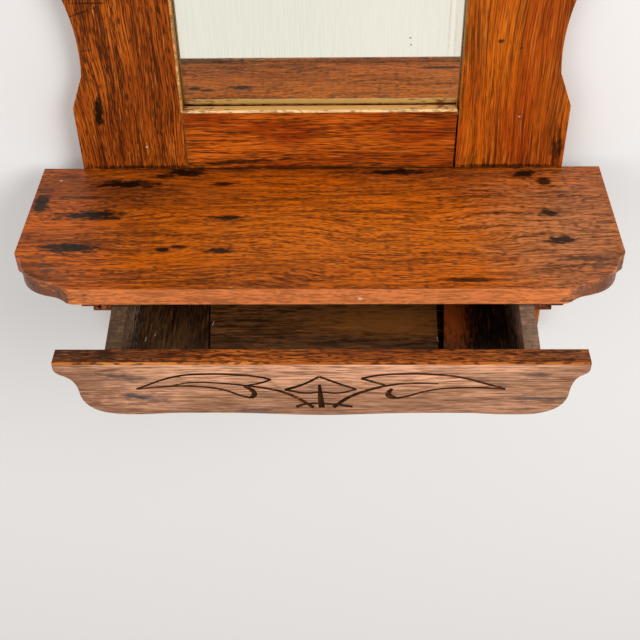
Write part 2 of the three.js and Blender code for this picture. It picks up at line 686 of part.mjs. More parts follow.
// Floor board of full thickness from one joint to the next.
function floorBoard(leftRear, leftFront, rightRear, rightFront) {
  return floorSlab(leftRear, leftFront, rightRear, rightFront, floorBottom, DRAWER_FLOOR_THICKNESS);
}

function makeFloorLeft() {
  const board = floorBoard(-sideOuter, -sideOuter, LEFT_JOINT.rear, LEFT_JOINT.front);
  return piece('drawer_floor_left', join(board, [floorLip(LEFT_JOINT)]), drawerBoxWood);
}

function makeFloorMiddle() {
  const rear = LEFT_JOINT.rear + LEFT_JOINT.rearGap;
  const front = LEFT_JOINT.front + LEFT_JOINT.frontGap;
  const board = floorBoard(rear, front, RIGHT_JOINT.rear, RIGHT_JOINT.front);
  const rebated = cut(board, [floorRebate(LEFT_JOINT)]);
  return piece('drawer_floor_middle', join(rebated, [floorLip(RIGHT_JOINT)]), drawerBoxWood);
}

function makeFloorRight() {
  const rear = RIGHT_JOINT.rear + RIGHT_JOINT.rearGap;
  const front = RIGHT_JOINT.front + RIGHT_JOINT.frontGap;
  const board = floorBoard(rear, front, sideOuter, sideOuter);
  return piece('drawer_floor_right', cut(board, [floorRebate(RIGHT_JOINT)]), drawerBoxWood);
}

function makeDrawer() {
  const drawer = new THREE.Group();
  drawer.add(makeDrawerFront());
  drawer.add(makeDrawerSide('drawer_side_left', -1));
  drawer.add(makeDrawerSide('drawer_side_right', 1));
  drawer.add(makeDrawerBack());
  drawer.add(makeDrawerFlange('drawer_flange_left', -1));
  drawer.add(makeDrawerFlange('drawer_flange_right', 1));
  drawer.add(makeFloorLeft());
  drawer.add(makeFloorMiddle());
  drawer.add(makeFloorRight());
  drawer.position.x = RUNNER_SHIFT + DRAWER_LEAN;
  return drawer;
}

// ---- Assembly --------------------------------------------------------------------------

const group = new THREE.Group();
group.add(makeStile('left_stile', -1));
group.add(makeStile('right_stile', 1));
group.add(makeBottomRail());
group.add(makeCrestRail());
group.add(makeMirrorGlass());
group.add(makeBackboard());
group.add(makeHangerPlate('hanger_plate_left', -1));
group.add(makeHangerPlate('hanger_plate_right', 1));
group.add(makeShelf());
screwPositions.forEach((x, index) => group.add(makeShelfScrew(`shelf_screw_${index + 1}`, x)));
group.add(makeRunners());
group.add(makeDrawer());

export default group;
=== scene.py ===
"""Hanging wall mirror in stained oak, with a shaped shelf and one hanging drawer under it.

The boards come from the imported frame. This file gives them their worn arrises and their finishes,
carves the drawer front, silvers the mirror, and adds the nails, brads and screws.
Positions are in millimetres in the tables below and in metres in the scene.
"""

import math

import bmesh
import bpy
from bpy.props import FloatProperty, FloatVectorProperty, PointerProperty
from bpy.types import Operator, Panel, PropertyGroup
from mathutils import Matrix, Vector


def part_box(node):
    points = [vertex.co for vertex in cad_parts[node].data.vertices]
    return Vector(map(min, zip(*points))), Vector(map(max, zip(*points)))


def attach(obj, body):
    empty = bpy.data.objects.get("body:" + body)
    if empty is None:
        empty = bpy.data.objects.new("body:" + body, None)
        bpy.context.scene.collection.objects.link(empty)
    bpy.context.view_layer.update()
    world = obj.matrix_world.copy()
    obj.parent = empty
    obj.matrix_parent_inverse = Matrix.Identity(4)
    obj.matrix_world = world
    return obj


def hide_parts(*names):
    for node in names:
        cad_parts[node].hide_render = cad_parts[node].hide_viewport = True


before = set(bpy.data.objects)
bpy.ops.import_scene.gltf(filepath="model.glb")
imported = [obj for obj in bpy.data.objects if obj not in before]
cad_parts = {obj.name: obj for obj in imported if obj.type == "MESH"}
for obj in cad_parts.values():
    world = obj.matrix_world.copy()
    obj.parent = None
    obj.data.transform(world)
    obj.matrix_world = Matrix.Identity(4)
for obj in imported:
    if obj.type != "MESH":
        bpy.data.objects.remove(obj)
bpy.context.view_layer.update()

bl_info = {
    "name": "Oak wall mirror",
    "version": (1, 0, 0),
    "blender": (4, 5, 0),
    "location": "View3D > Sidebar > Wall mirror",
    "description": "Dresses an oak wall mirror with a shelf and a carved drawer",
    "category": "Object",
}

MM = 0.001

# The photograph's camera, solved from the converging edges of the object.
CAMERA_PLACE_MM = (21.6, -875.7, 568.1)
CAMERA_YAW_DEG = 1.749
CAMERA_PITCH_DEG = 41.435
CAMERA_ROLL_DEG = -1.242
CAMERA_FOCAL_PX = 1105.1
PHOTO_SIDE_PX = 640
SENSOR_MM = 36.0

# Heights and faces that the tables below are measured from, read from the frame.
FRAME_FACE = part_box("left_stile")[0].y / MM
SHELF_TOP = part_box("shelf")[1].z / MM
SHELF_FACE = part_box("shelf")[0].y / MM
DRAWER_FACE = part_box("drawer_front")[0].y / MM
DRAWER_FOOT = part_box("drawer_front")[0].z / MM
DRAWER_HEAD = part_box("drawer_front")[1].z / MM
FLOOR_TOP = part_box("drawer_floor_middle")[1].z / MM
GLASS_LOW, GLASS_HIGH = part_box("mirror_glass")
GLASS_LAP = 7  # The glass runs this far behind the boards all round.
SIGHT_FOOT = GLASS_LOW.z / MM + GLASS_LAP
SIGHT_SIDE = GLASS_HIGH.x / MM - GLASS_LAP


def linear(hex_colour, alpha=1.0):
    """An sRGB hex colour as linear red, green, blue and alpha."""
    channels = [int(hex_colour[i : i + 2], 16) / 255 for i in (1, 3, 5)]
    return [c / 12.92 if c <= 0.04045 else ((c + 0.055) / 1.055) ** 2.4 for c in channels] + [alpha]


def tone(name, description, hex_colour):
    """A colour that the panel shows."""
    kind = {"subtype": "COLOR", "size": 4, "min": 0.0, "max": 1.0}
    return FloatVectorProperty(name=name, description=description, default=linear(hex_colour), **kind)


def length(name, description, millimetres):
    """A length that the panel shows."""
    kind = {"subtype": "DISTANCE", "unit": "LENGTH", "min": 0.0}
    return FloatProperty(name=name, description=description, default=millimetres * MM, **kind)


class WallMirrorSizes(PropertyGroup):
    """Small sizes that are finished here and not in the solids."""

    arris: length("Worn arris", "Width of the rubbed edge along each board", 1.2)
    sight_arris: length("Arris round the mirror", "Width of the pale edge round the mirror", 1.8)
    front_arris: length("Drawer front arris", "Width of the drawer front's rubbed top edge", 1.5)
    box_arris: length("Box arris", "Width of the rubbed edge on the drawer box", 0.6)
    gouge: length("Carved line", "Width of a thin carved line on the drawer front", 2.2)
    nail: length("Nail", "Thickness of a wire nail", 1.3)
    brad: length("Brad", "Length of a glazing brad that shows", 7.0)


class WallMirrorFinishes(PropertyGroup):
    """Colours of the woods, the mirror and the metal."""

    oak_light: tone("Left stile, light", "Varnished oak between the growth rings", "#AE5412")
    oak_deep: tone("Left stile, deep", "Varnished oak where the stain lies thicker", "#93420E")
    oak_dark: tone("Oak, dark", "Open early wood that took up the stain", "#38190A")
    stile_light: tone("Right stile, light", "The yellower board of the right stile", "#C4600F")
    stile_deep: tone("Right stile, deep", "Redder stretches of the right stile", "#A4440A")
    rail_light: tone("Rail, light", "The redder board of the bottom rail", "#C86014")
    rail_deep: tone("Rail, deep", "Reddest stretches of the bottom rail", "#9A3A08")
    shelf_light: tone("Shelf, light", "Rubbed middle of the shelf", "#CE6208")
    shelf_deep: tone("Shelf, deep", "Reddish ends of the shelf", "#8C4418")
    # Pinker wood with a painted sheen of reflected room light on it.
    shelf_face_with_sheen: tone("Shelf, front edge", "Paler, pinker front edge of the shelf", "#DC7E46")
    stain: tone("Black stain", "Iron and water stains", "#0C0906")
    edge: tone("Sawn edges", "Dark stained edges of the frame boards", "#6E3A14")
    dirt: tone("Dirt", "Olive-brown dirt in the edges round the mirror", "#80621E")
    arris: tone("Worn arris", "Varnish rubbed off to pale wood", "#DCA868")
    # The drawer face's pale pink-grey is partly a painted sheen of reflected room light.
    dry: tone("Drawer face, light", "Thin dry varnish, hazed pink-grey", "#D69C7A")
    dry_deep: tone("Drawer face, deep", "Duller stretches of the drawer face", "#BC8A68")
    dry_dark: tone("Drawer face, dark", "Fibres of the drawer face", "#5A3826")
    gouge: tone("Carved line", "Burnt and dirt-filled carving", "#2E1C12")
    bare: tone("Drawer box", "Bare, dusty wood of the box", "#967860")
    dust: tone("Dust", "Grey dust in the drawer", "#6A5A48")
    silver: tone("Silvering", "Old mirror silver, a little green", "#E8F4E8")
    steel: tone("Steel", "Dull steel of nails and plates", "#857F76")
    wall: tone("Wall", "Pale plaster wall", "#E2E0DE")


class WallMirrorSettings(PropertyGroup):
    """All the settings of the wall mirror."""

    sizes: PointerProperty(type=WallMirrorSizes)
    finishes: PointerProperty(type=WallMirrorFinishes)


# ---- Node and mesh helpers


def add_node(tree, kind, settings=None, links=None):
    """Adds a node, sets its properties or sockets, and links nodes or their outputs to its sockets."""
    node = tree.nodes.new(kind)
    for name, value in (settings or {}).items():
        if isinstance(name, str) and hasattr(node, name):
            setattr(node, name, value)
        else:
            node.inputs[name].default_value = value
    for name, source in (links or {}).items():
        first_output = source.outputs[0] if isinstance(source, bpy.types.Node) else source
        tree.links.new(first_output, node.inputs[name])
    return node


def new_material(constants):
    """A material with a Principled shader. Constants go straight on the shader's sockets."""
    material = bpy.data.materials.new("finish")
    material.use_nodes = True
    tree = material.node_tree
    tree.nodes.clear()
    shader = add_node(tree, "ShaderNodeBsdfPrincipled", constants)
    add_node(tree, "ShaderNodeOutputMaterial", None, {"Surface": shader})
    return material, tree, shader


def finishes():
    """The colours of the panel."""
    return bpy.context.scene.wall_mirror.finishes


def sizes():
    """The sizes of the panel."""
    return bpy.context.scene.wall_mirror.sizes


def place_piece(name, mesh_data, body, *materials):
    """Links a finished mesh as a piece that rides on a body."""
    piece = bpy.data.objects.new(name, mesh_data)
    bpy.context.scene.collection.objects.link(piece)
    for material in materials:
        piece.data.materials.append(material)
    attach(piece, body)
    return piece


def mesh_from(bm, name):
    """Turns a bmesh into mesh data with faces outwards and round parts shaded smooth."""
    bmesh.ops.recalc_face_normals(bm, faces=bm.faces)
    data = bpy.data.meshes.new(name)
    bm.to_mesh(data)
    bm.free()
    soften(data)
    return data


def soften(data, angle_deg=32):
    """Shades round parts smooth and keeps the sharp edges."""
    data.polygons.foreach_set("use_smooth", [True] * len(data.polygons))
    data.set_sharp_from_angle(angle=math.radians(angle_deg))


# ---- Wood

# Which object axes run along, across and through the fibres.
FIBRES = {"X": ("X", "Y", "Z"), "X upright": ("X", "Z", "Y"), "Y": ("Y", "X", "Z"), "Z": ("Z", "X", "Y")}

# The levels of its noise, or of a face's direction, between which each layer of the wood comes in.
DRIFT_LEVELS = (0.38, 0.60)
STREAK_LEVELS = (0.92, 1.02)
PORE_LEVELS = (0.83, 0.95)
BRIGHT_FIBRE_LEVELS = (0.44, 0.26)
DARK_FIBRE_LEVELS = (0.46, 0.66)
FORWARD_LEVELS = (0.86, 0.97)
EDGE_ON_LEVELS = (0.5, 0.7)


def in_millimetres(tree):
    """Object position in millimetres, and the face's direction."""
    place = add_node(tree, "ShaderNodeTexCoord")
    scaled = {"operation": "SCALE", "Scale": 1 / MM}
    mm = add_node(tree, "ShaderNodeVectorMath", scaled, {0: place.outputs["Object"]})
    return mm.outputs["Vector"], place.outputs["Normal"]


def fibre_noise(tree, grain, length_mm, width_mm, seed, detail=2.0, rough=0.5):
    """Noise stretched along the fibres, with marks about as long and wide as given."""
    stretch = (1 / length_mm, 1 / width_mm, 1 / width_mm)
    start = (seed * 3.7, seed * 1.9, seed * 0.7)
    mapping = add_node(tree, "ShaderNodeMapping", {"Scale": stretch, "Location": start}, {"Vector": grain})
    texture = {"Scale": 1.0, "Detail": detail, "Roughness": rough}
    return add_node(tree, "ShaderNodeTexNoise", texture, {"Vector": mapping}).outputs["Fac"]


def as_colour(colour):
    """The linear colour of an sRGB hex value, or of a name in the panel's palette."""
    return linear(colour) if colour.startswith("#") else getattr(finishes(), colour)


def coat(tree, below, above, source, levels, strength=1.0):
    """Lays a colour over another as a value goes from one level to another.

    Gives the colour and the mask.
    """
    smooth = {"interpolation_type": "SMOOTHSTEP", "From Min": levels[0], "From Max": levels[1]}
    mask = add_node(tree, "ShaderNodeMapRange", {**smooth, "To Max": strength}, {"Value": source})
    settings, links = {"data_type": "RGBA"}, {0: mask}
    for socket, colour in ((6, below), (7, above)):
        kept = links if isinstance(colour, bpy.types.NodeSocket) else settings
        kept[socket] = as_colour(colour) if isinstance(colour, str) else colour
    return add_node(tree, "ShaderNodeMix", settings, links).outputs[2], mask


def with_marks(tree, colour, marks, place, ragged):
    """Lays ragged oval marks over a colour.

    A mark has its centre, half sizes, softness, colour and strength, and may have its turn in degrees.
    """
    for centre, half, soft, mark, strength, *turn in marks:
        angles = [math.radians(angle) for angle in (turn[0] if turn else (0, 0, 0))]
        oval = {"vector_type": "TEXTURE", "Location": centre, "Rotation": angles, "Scale": half}
        mapping = add_node(tree, "ShaderNodeMapping", oval, {"Vector": place})
        far = add_node(tree, "ShaderNodeVectorMath", {"operation": "LENGTH"}, {0: mapping})
        edge = {0: far.outputs["Value"], 1: ragged}
        frayed = add_node(tree, "ShaderNodeMath", {"operation": "ADD"}, edge)
        colour, _ = coat(tree, colour, mark, frayed, (1.0 + soft, 1.0 - soft), strength)
    return colour


def grain_of(tree, along, wander_mm, seed):
    """Position in millimetres, the same along fibres that wander, and the face's direction."""
    place, normal = in_millimetres(tree)
    parts = add_node(tree, "ShaderNodeSeparateXYZ", None, {0: place})
    turned = {axis: parts.outputs[source] for axis, source in zip("XYZ", FIBRES[along])}
    straight = add_node(tree, "ShaderNodeCombineXYZ", None, turned)
    sway = fibre_noise(tree, straight, 130, 48, seed + 31, detail=1.0)
    both_ways = {"operation": "MULTIPLY_ADD", 1: 2 * wander_mm, 2: -wander_mm}
    shift = add_node(tree, "ShaderNodeMath", both_ways, {0: sway})
    sideways = add_node(tree, "ShaderNodeCombineXYZ", None, {"Y": shift})
    grain = add_node(tree, "ShaderNodeVectorMath", {"operation": "ADD"}, {0: straight, 1: sideways})
    return place, grain, normal


def facings(tree, normal, along):
    """How far a face looks forwards, and how far it is an edge of the board, not one of its faces."""
    parts = add_node(tree, "ShaderNodeSeparateXYZ", None, {0: normal})
    ahead = add_node(tree, "ShaderNodeMath", {"operation": "MULTIPLY", 1: -1.0}, {0: parts.outputs["Y"]})
    axis = "Z" if along in ("X", "Y") else "Y"
    level = add_node(tree, "ShaderNodeMath", {"operation": "ABSOLUTE"}, {0: parts.outputs[axis]})
    if along == "X":
        # The front edge of the shelf has its own tint, its pinker wood under a painted sheen, so it doesn't
        # count as an edge here.
        level = add_node(tree, "ShaderNodeMath", {"operation": "MAXIMUM"}, {0: level, 1: ahead})
    edge_on = add_node(tree, "ShaderNodeMath", {"operation": "SUBTRACT", 0: 1.0}, {1: level})
    return ahead, edge_on


def wood(
    along, colours, seed,
    streak=(90, 6.5, 0.75), pore=(9, 1.5, 0.8), fine=(30, 2.0, 0.4), wander=7.0,
    rough=(0.36, 0.5), sheen=0.3, relief=0.12, glint="#E8903C",
    zones=(), patches=(), front=None, sides=None,
):
    """Open-pored wood: broad colour drift, broken growth-ring streaks, fine fibres and pores.

    colours are light, deep and dark. streak, pore and fine are each a length and a width in
    millimetres and a strength. zones lie under the fibres and patches lie over them. front tints
    what faces forwards as a painted sheen, sides tints the board's edges, and glint is the colour
    of bright fibres.
    """
    light, deep, dark = colours
    varnish = {"IOR": 1.5, "Specular IOR Level": sheen, "Specular Tint": linear("#D89A60")}
    material, tree, shader = new_material(varnish)
    place, grain, normal = grain_of(tree, along, wander, seed)
    drift = fibre_noise(tree, grain, 150, 34, seed)
    rings = fibre_noise(tree, grain, streak[0], streak[1], seed + 7, detail=1.5)
    torn = fibre_noise(tree, grain, 16, 0.9, seed + 13, rough=0.6)
    threads = fibre_noise(tree, grain, fine[0], fine[1], seed + 17, rough=0.6)
    holes = fibre_noise(tree, grain, pore[0], pore[1], seed + 23, detail=0.0)
    cloud = fibre_noise(tree, grain, 9, 2.6, seed + 41, detail=3.0, rough=0.6)
    ragged = add_node(tree, "ShaderNodeMath", {"operation": "MULTIPLY_ADD", 1: 2.8, 2: -1.4}, {0: cloud})
    broken = add_node(tree, "ShaderNodeMath", {"operation": "MULTIPLY_ADD", 1: 0.7}, {0: torn, 2: rings})
    crowd = add_node(tree, "ShaderNodeMath", {"operation": "MULTIPLY_ADD", 1: 0.6}, {0: rings, 2: holes})
    ahead, edge_on = facings(tree, normal, along)
    colour, _ = coat(tree, light, deep, drift, DRIFT_LEVELS)
    colour = with_marks(tree, colour, zones, place, ragged)
    # Painted sheen: faces that look forwards take the front colour, in place of reflected room light.
    if front:
        colour, _ = coat(tree, colour, front[0], ahead, FORWARD_LEVELS)
    colour, _ = coat(tree, colour, glint, threads, BRIGHT_FIBRE_LEVELS, fine[2] * 0.55)
    colour, _ = coat(tree, colour, dark, threads, DARK_FIBRE_LEVELS, fine[2])
    colour, streaks = coat(tree, colour, dark, broken, STREAK_LEVELS, streak[2])
    colour, pores = coat(tree, colour, dark, crowd, PORE_LEVELS, pore[2])
    # The painted sheen again, laid over the fibres and pores.
    if front:
        colour, _ = coat(tree, colour, front[0], ahead, FORWARD_LEVELS, front[1])
    if sides:
        colour, _ = coat(tree, colour, sides[0], edge_on, EDGE_ON_LEVELS, sides[1])
    colour = with_marks(tree, colour, patches, place, ragged)
    tree.links.new(colour, shader.inputs["Base Color"])
    spread = {"From Min": 0.3, "From Max": 0.7, "To Min": rough[0], "To Max": rough[1]}
    polish = add_node(tree, "ShaderNodeMapRange", spread, {"Value": drift})
    dull = add_node(tree, "ShaderNodeMath", {"operation": "MULTIPLY_ADD", 1: 0.3}, {0: pores, 2: polish})
    tree.links.new(dull.outputs["Value"], shader.inputs["Roughness"])
    sunk = add_node(tree, "ShaderNodeMath", {"operation": "MULTIPLY_ADD", 1: 0.35}, {0: streaks, 2: pores})
    hollows = {"invert": True, "Strength": 0.7, "Distance": relief * MM}
    bump = add_node(tree, "ShaderNodeBump", hollows, {"Height": sunk})
    tree.links.new(bump.outputs["Normal"], shader.inputs["Normal"])
    return material


def sight_dirt(side, top, across):
    """Old dirt on the edge of a board that faces the mirror: left, right, foot or head of it."""
    low, high = SIGHT_FOOT, GLASS_HIGH.z / MM - GLASS_LAP
    height = (high if top else low) if across else (low + high) / 2
    half = (SIGHT_SIDE + 10, 8, 1.3) if across else (1.3, 8, (high - low) / 2 + 6)
    colour = "#ECAE62" if across else "dirt"
    return ((side * SIGHT_SIDE, FRAME_FACE + 5, height), half, 0.25, colour, 0.85)


def on_frame(x, z, half_long, half_high, soft, colour, strength, deep=3, lean=0):
    """A mark on the front of the frame. deep is its half depth and lean its turn in degrees."""
    return ((x, FRAME_FACE, z), (half_long, deep, half_high), soft, colour, strength, (0, lean, 0))


def stained_oak_left_stile():
    """Plain-sawn oak under old red-brown varnish: bold dark streaks, one iron stain, a few scratches."""
    marks = [
        sight_dirt(-1, 0, 0),
        on_frame(-197.5, 60, 3.6, 15, 0.35, "stain", 0.97, deep=5, lean=6),
        on_frame(-200, 153.5, 15, 0.7, 0.5, "stain", 0.8, lean=-20),
        on_frame(-190, 162.5, 15, 0.7, 0.5, "stain", 0.75),
        on_frame(-199, 119.4, 6, 0.6, 0.5, "stain", 0.6, lean=-8),
        on_frame(-142, 120, 1.3, 26, 0.6, "stain", 0.6),
        on_frame(-158.7, 22.9, 0.9, 0.9, 0.3, "wall", 0.6),
        # A dark line along the joint with the shelf.
        on_frame(-165, 1, 50, 1.8, 0.5, "stain", 0.8),
    ]
    return wood(
        "Z", ("oak_light", "oak_deep", "oak_dark"), 3,
        streak=(150, 4.2, 0.7), pore=(9, 0.9, 0.8), fine=(36, 1.1, 0.85), wander=9, patches=marks,
        sides=("edge", 0.7),
    )


def stained_oak_right_stile():
    """The same oak cut nearer the quarter: yellower, with finer and straighter streaks."""
    zones = [
        # Partly painted shade: below the shelf the stile is darker, its less polished wood with a painted
        # shadow of the shelf on it.
        on_frame(165, -125, 70, 112, 0.3, "#6E3418", 0.6, deep=8),
        on_frame(168, 40, 18, 42, 0.9, "#983808", 0.75, deep=6),
        on_frame(206, 70, 12, 110, 0.9, "#8C4210", 0.6, deep=6),
        on_frame(134, 120, 7, 40, 0.9, "#6E3410", 0.55, deep=6),
    ]
    marks = [
        sight_dirt(1, 0, 0),
        on_frame(212.7, 17.5, 4.5, 17, 0.7, "stain", 0.85, deep=5),
        on_frame(153.1, 125.7, 2.0, 1.6, 0.6, "stain", 0.9),
        on_frame(171.4, 119.1, 1.2, 1.2, 0.5, "stain", 0.95),
        on_frame(150, 85, 1.0, 24, 0.6, "stain", 0.5),
        on_frame(176, 52.5, 0.9, 0.9, 0.3, "wall", 0.5),
        # A dark line along the joint with the shelf.
        on_frame(165, 1, 50, 1.8, 0.5, "stain", 0.8),
    ]
    return wood(
        "Z", ("stile_light", "stile_deep", "oak_dark"), 11,
        streak=(170, 5.0, 0.3), pore=(14, 0.8, 0.5), fine=(60, 1.0, 0.7), wander=6,
        zones=zones, patches=marks,
        sides=("edge", 0.7),
    )


def stained_oak_rail():
    """A redder oak board with its fibres across, streaked with short dark lines."""
    marks = [
        sight_dirt(0, 0, 1),
        on_frame(-78, 6, 48, 2.0, 0.6, "stain", 0.85, lean=-3),
        # A dark line along the joint with the shelf.
        on_frame(0, 0, 130, 2.0, 0.6, "stain", 0.7),
        on_frame(60, 14, 60, 1.4, 0.8, "oak_dark", 0.5, lean=2),
    ]
    return wood(
        "X upright", ("rail_light", "rail_deep", "oak_dark"), 19,
        streak=(80, 2.8, 0.6), pore=(11, 0.9, 0.7), fine=(40, 1.0, 0.8), wander=5, patches=marks,
        sides=("edge", 0.7),
    )


def stained_oak_crest():
    """Crest board in the same oak as the stiles, with its fibres across."""
    return wood(
        "X upright", ("oak_light", "oak_deep", "oak_dark"), 23,
        streak=(110, 6.0, 0.75), pore=(11, 1.5, 0.75), wander=9,
        patches=[sight_dirt(0, 1, 1)], sides=("edge", 0.7),
    )


def rubbed_edge(along, light, deep, seed, streak, pore, rough=(0.4, 0.55), dark="oak_dark", zones=()):
    """An arris of the boards, where handling has rubbed the varnish thin. Its relief is shallow."""
    return wood(
        along, (light, deep, dark), seed,
        streak=streak, pore=pore, wander=3, rough=rough, zones=zones, relief=0.03,
    )


def frame_arris():
    """Edges of the frame, with the varnish rubbed a little lighter."""
    return rubbed_edge("Z", "#9C5A22", "#7A3C12", 29, (24, 9, 0.35), (8, 2.0, 0.3), (0.45, 0.6))


def sight_arris():
    """Edge round the mirror, rubbed through the varnish to pale wood, broken by darker spots."""
    paler = ((0, FRAME_FACE, SIGHT_FOOT), (SIGHT_SIDE + 12, 8, 5), 0.2, "#FFDCA4", 0.7)
    spots = (16, 9, 0.5), (5, 2.4, 0.5)
    return rubbed_edge("X", "arris", "#C48A4C", 30, *spots, (0.45, 0.6), "#6A4420", [paler])


def shelf_arris():
    """Edges of the shelf, rubbed to orange wood."""
    return rubbed_edge("X", "#D88A4E", "#B86830", 31, (20, 9, 0.4), (6, 2.0, 0.5))


def drawer_arris():
    """Edges of the drawer front, knocked and rubbed to light orange wood."""
    return rubbed_edge("X", "#D6843E", "#A4561E", 33, (18, 9, 0.8), (7, 3.0, 0.7))


# Iron and water stains on the shelf: X, Y behind the front edge, half length, half width, strength.
SHELF_STAINS = (
    (-177, 149, 27, 6.7, 1.00), (-123, 167, 19, 5.6, 0.99), (-143, 162, 12, 3.4, 0.92),
    (-89, 149, 11, 2.9, 0.95), (-248, 119, 7, 15.7, 0.97), (-202, 102, 28, 6.2, 1.00),
    (-190, 97, 14, 3.4, 0.77), (-82, 97, 14, 3.8, 0.97), (-211, 55, 26, 6.7, 1.00),
    (-131, 52, 6, 3.6, 0.97), (-118, 56, 7, 2.9, 0.87), (-84, 51, 12, 4.0, 0.95),
    (70, 167, 26, 4.3, 0.99), (184, 163, 12, 6.7, 0.97), (200, 151, 7, 6.7, 0.92),
    (198, 102, 8, 5.0, 0.95), (204, 64, 13, 5.6, 0.97), (125, 12, 19, 2.9, 0.82),
    (222, 39, 24, 3.1, 0.77), (-205, 128, 30, 2.2, 0.57),
)


def on_shelf(x, back, half_long, half_wide, soft, colour, strength, deep=30, turn=0):
    """A mark on the shelf's top. back is its distance behind the front edge."""
    place = (x, SHELF_FACE + back, SHELF_TOP)
    return (place, (half_long, half_wide, deep), soft, colour, strength, (0, 0, turn))


def rubbed_oak_shelf():
    """Shelf board rubbed to a soft shine, orange in the middle, redder at the ends, with black stains. A
    painted sheen pales its right end and its front edge.
    """
    zones = [
        on_shelf(10, 88, 190, 75, 0.8, "shelf_light", 0.8),
        on_shelf(50, 70, 150, 32, 0.9, "#E0740C", 0.6, turn=3),
        on_shelf(-40, 105, 110, 20, 0.9, "#DE6E0A", 0.5, turn=6),
        # Painted reflection: the right end of the top is paler and greyer.
        on_shelf(205, 70, 60, 80, 0.9, "#C88454", 0.65),
        on_shelf(-150, 130, 90, 30, 0.9, "#6E3410", 0.4),
        # Darker along the back edge of the top, by the rail.
        on_shelf(0, 176, 300, 12, 0.8, "oak_dark", 0.5),
    ]
    # A dark line along the joint with the rail.
    marks = [on_shelf(0, 174.5, 215, 2.2, 0.5, "stain", 0.8, 3)]
    for x, back, half_long, half_wide, strength in SHELF_STAINS:
        marks.append(on_shelf(x, back, half_long, half_wide, 0.4, "stain", strength, 5))
    # Painted shade on the shaped front corners at both ends of the shelf.
    for side in (-1, 1):
        corner = (side * 230 + 1, SHELF_FACE + 22, SHELF_TOP - 11)
        marks.append((corner, (33, 32, 10.5), 0.35, "#56382A", 0.85))
    marks.append(on_shelf(-237, 155, 1.2, 1.2, 0.4, "arris", 0.7, 2))
    chip = (33.5, SHELF_FACE, SHELF_TOP - 10)
    marks.append((chip, (1.9, 2, 1.0), 0.6, "#DCC8A0", 0.9, (0, 10, 0)))
    return wood(
        "X", ("shelf_light", "shelf_deep", "oak_dark"), 37,
        streak=(70, 5.0, 0.35), pore=(6, 1.1, 0.6), fine=(22, 1.7, 0.7), wander=14, rough=(0.32, 0.46),
        # front: the shelf's front edge, its pinker wood under a painted sheen.
        zones=zones, patches=marks, front=("shelf_face_with_sheen", 0.45), sides=("#5A3A24", 0.75),
    )


# Blue-black marks on the drawer face: X, height above its foot, half length, half height,
# softness, strength and turn in degrees.
FACE_STAINS = (
    (-152, 42.5, 17, 2.6, 0.9, 0.75, 9), (-151, 22, 9, 2.0, 0.8, 0.9, 9),
    (-138, 19.5, 14, 3.4, 0.9, 0.75, 9), (172, 45, 8, 1.5, 0.8, 0.75, 0),
    (166, 19.5, 9, 1.9, 0.8, 0.75, 0), (186, 18.5, 14, 2.0, 0.9, 0.5, 0),
    (-58, 5.5, 14, 2.4, 0.9, 0.6, 4),
)


def drawer_face_with_painted_sheen():
    """Drawer face in thin dry varnish, pinkish grey-brown with fine level fibres; a painted sheen of reflected
    room light makes it paler and greyer.
    """
    face, foot = DRAWER_FACE, DRAWER_FOOT
    zones = [
        # Painted light: the middle and upper part of the face is brighter.
        ((0, face, foot + 50), (170, 6, 17), 0.9, "#E8AA86", 0.75),
        # Darker towards both ends and the foot of the face.
        ((-200, face, foot + 36), (42, 6, 36), 0.9, "#7A5038", 0.75),
        ((205, face, foot + 36), (26, 6, 36), 0.9, "#8A5E44", 0.6),
        ((0, face, foot - 2), (215, 6, 24), 0.9, "#7A503C", 0.6),
    ]
    marks = [
        ((x, face, foot + height), (half_long, 3, half_high), soft, "#3C3A3C", strength, (0, turn, 0))
        for x, height, half_long, half_high, soft, strength, turn in FACE_STAINS
    ]
    return wood(
        "X upright", ("dry", "dry_deep", "dry_dark"), 43,
        streak=(60, 2.0, 0.2), pore=(12, 0.8, 0.45), fine=(30, 0.8, 0.75), wander=4,
        sheen=0.15, rough=(0.5, 0.62), zones=zones, patches=marks, glint="#F0C0A0", relief=0.06,
    )


def stained_oak_drawer_edge():
    """Edges of the drawer front, still with their orange-brown varnish, mottled and darker at the ends."""
    ends = "#4A2E1E"
    top = DRAWER_FOOT + 58
    zones = [
        ((-190, DRAWER_FACE + 8, top), (70, 14, 6), 0.9, ends, 0.8),
        ((195, DRAWER_FACE + 8, top), (60, 14, 6), 0.9, ends, 0.7),
    ]
    marks = [((-168, DRAWER_FACE + 10, top), (7, 4, 3), 0.7, "stain", 0.7)]
    return wood(
        "X", ("#BE6424", "#8A441A", "oak_dark"), 47,
        streak=(26, 3.0, 0.7), pore=(6, 1.2, 0.8), fine=(14, 1.4, 0.8), wander=4,
        zones=zones, patches=marks,
    )


def carved_line():
    """Gouge cut, darkened by heat and a century of polish and dirt."""
    return wood(
        "X", ("gouge", "#4A2C1C", "stain"), 53,
        streak=(12, 2, 0.4), pore=(5, 1.2, 0.3), sheen=0.1, rough=(0.6, 0.75), relief=0.05,
    )


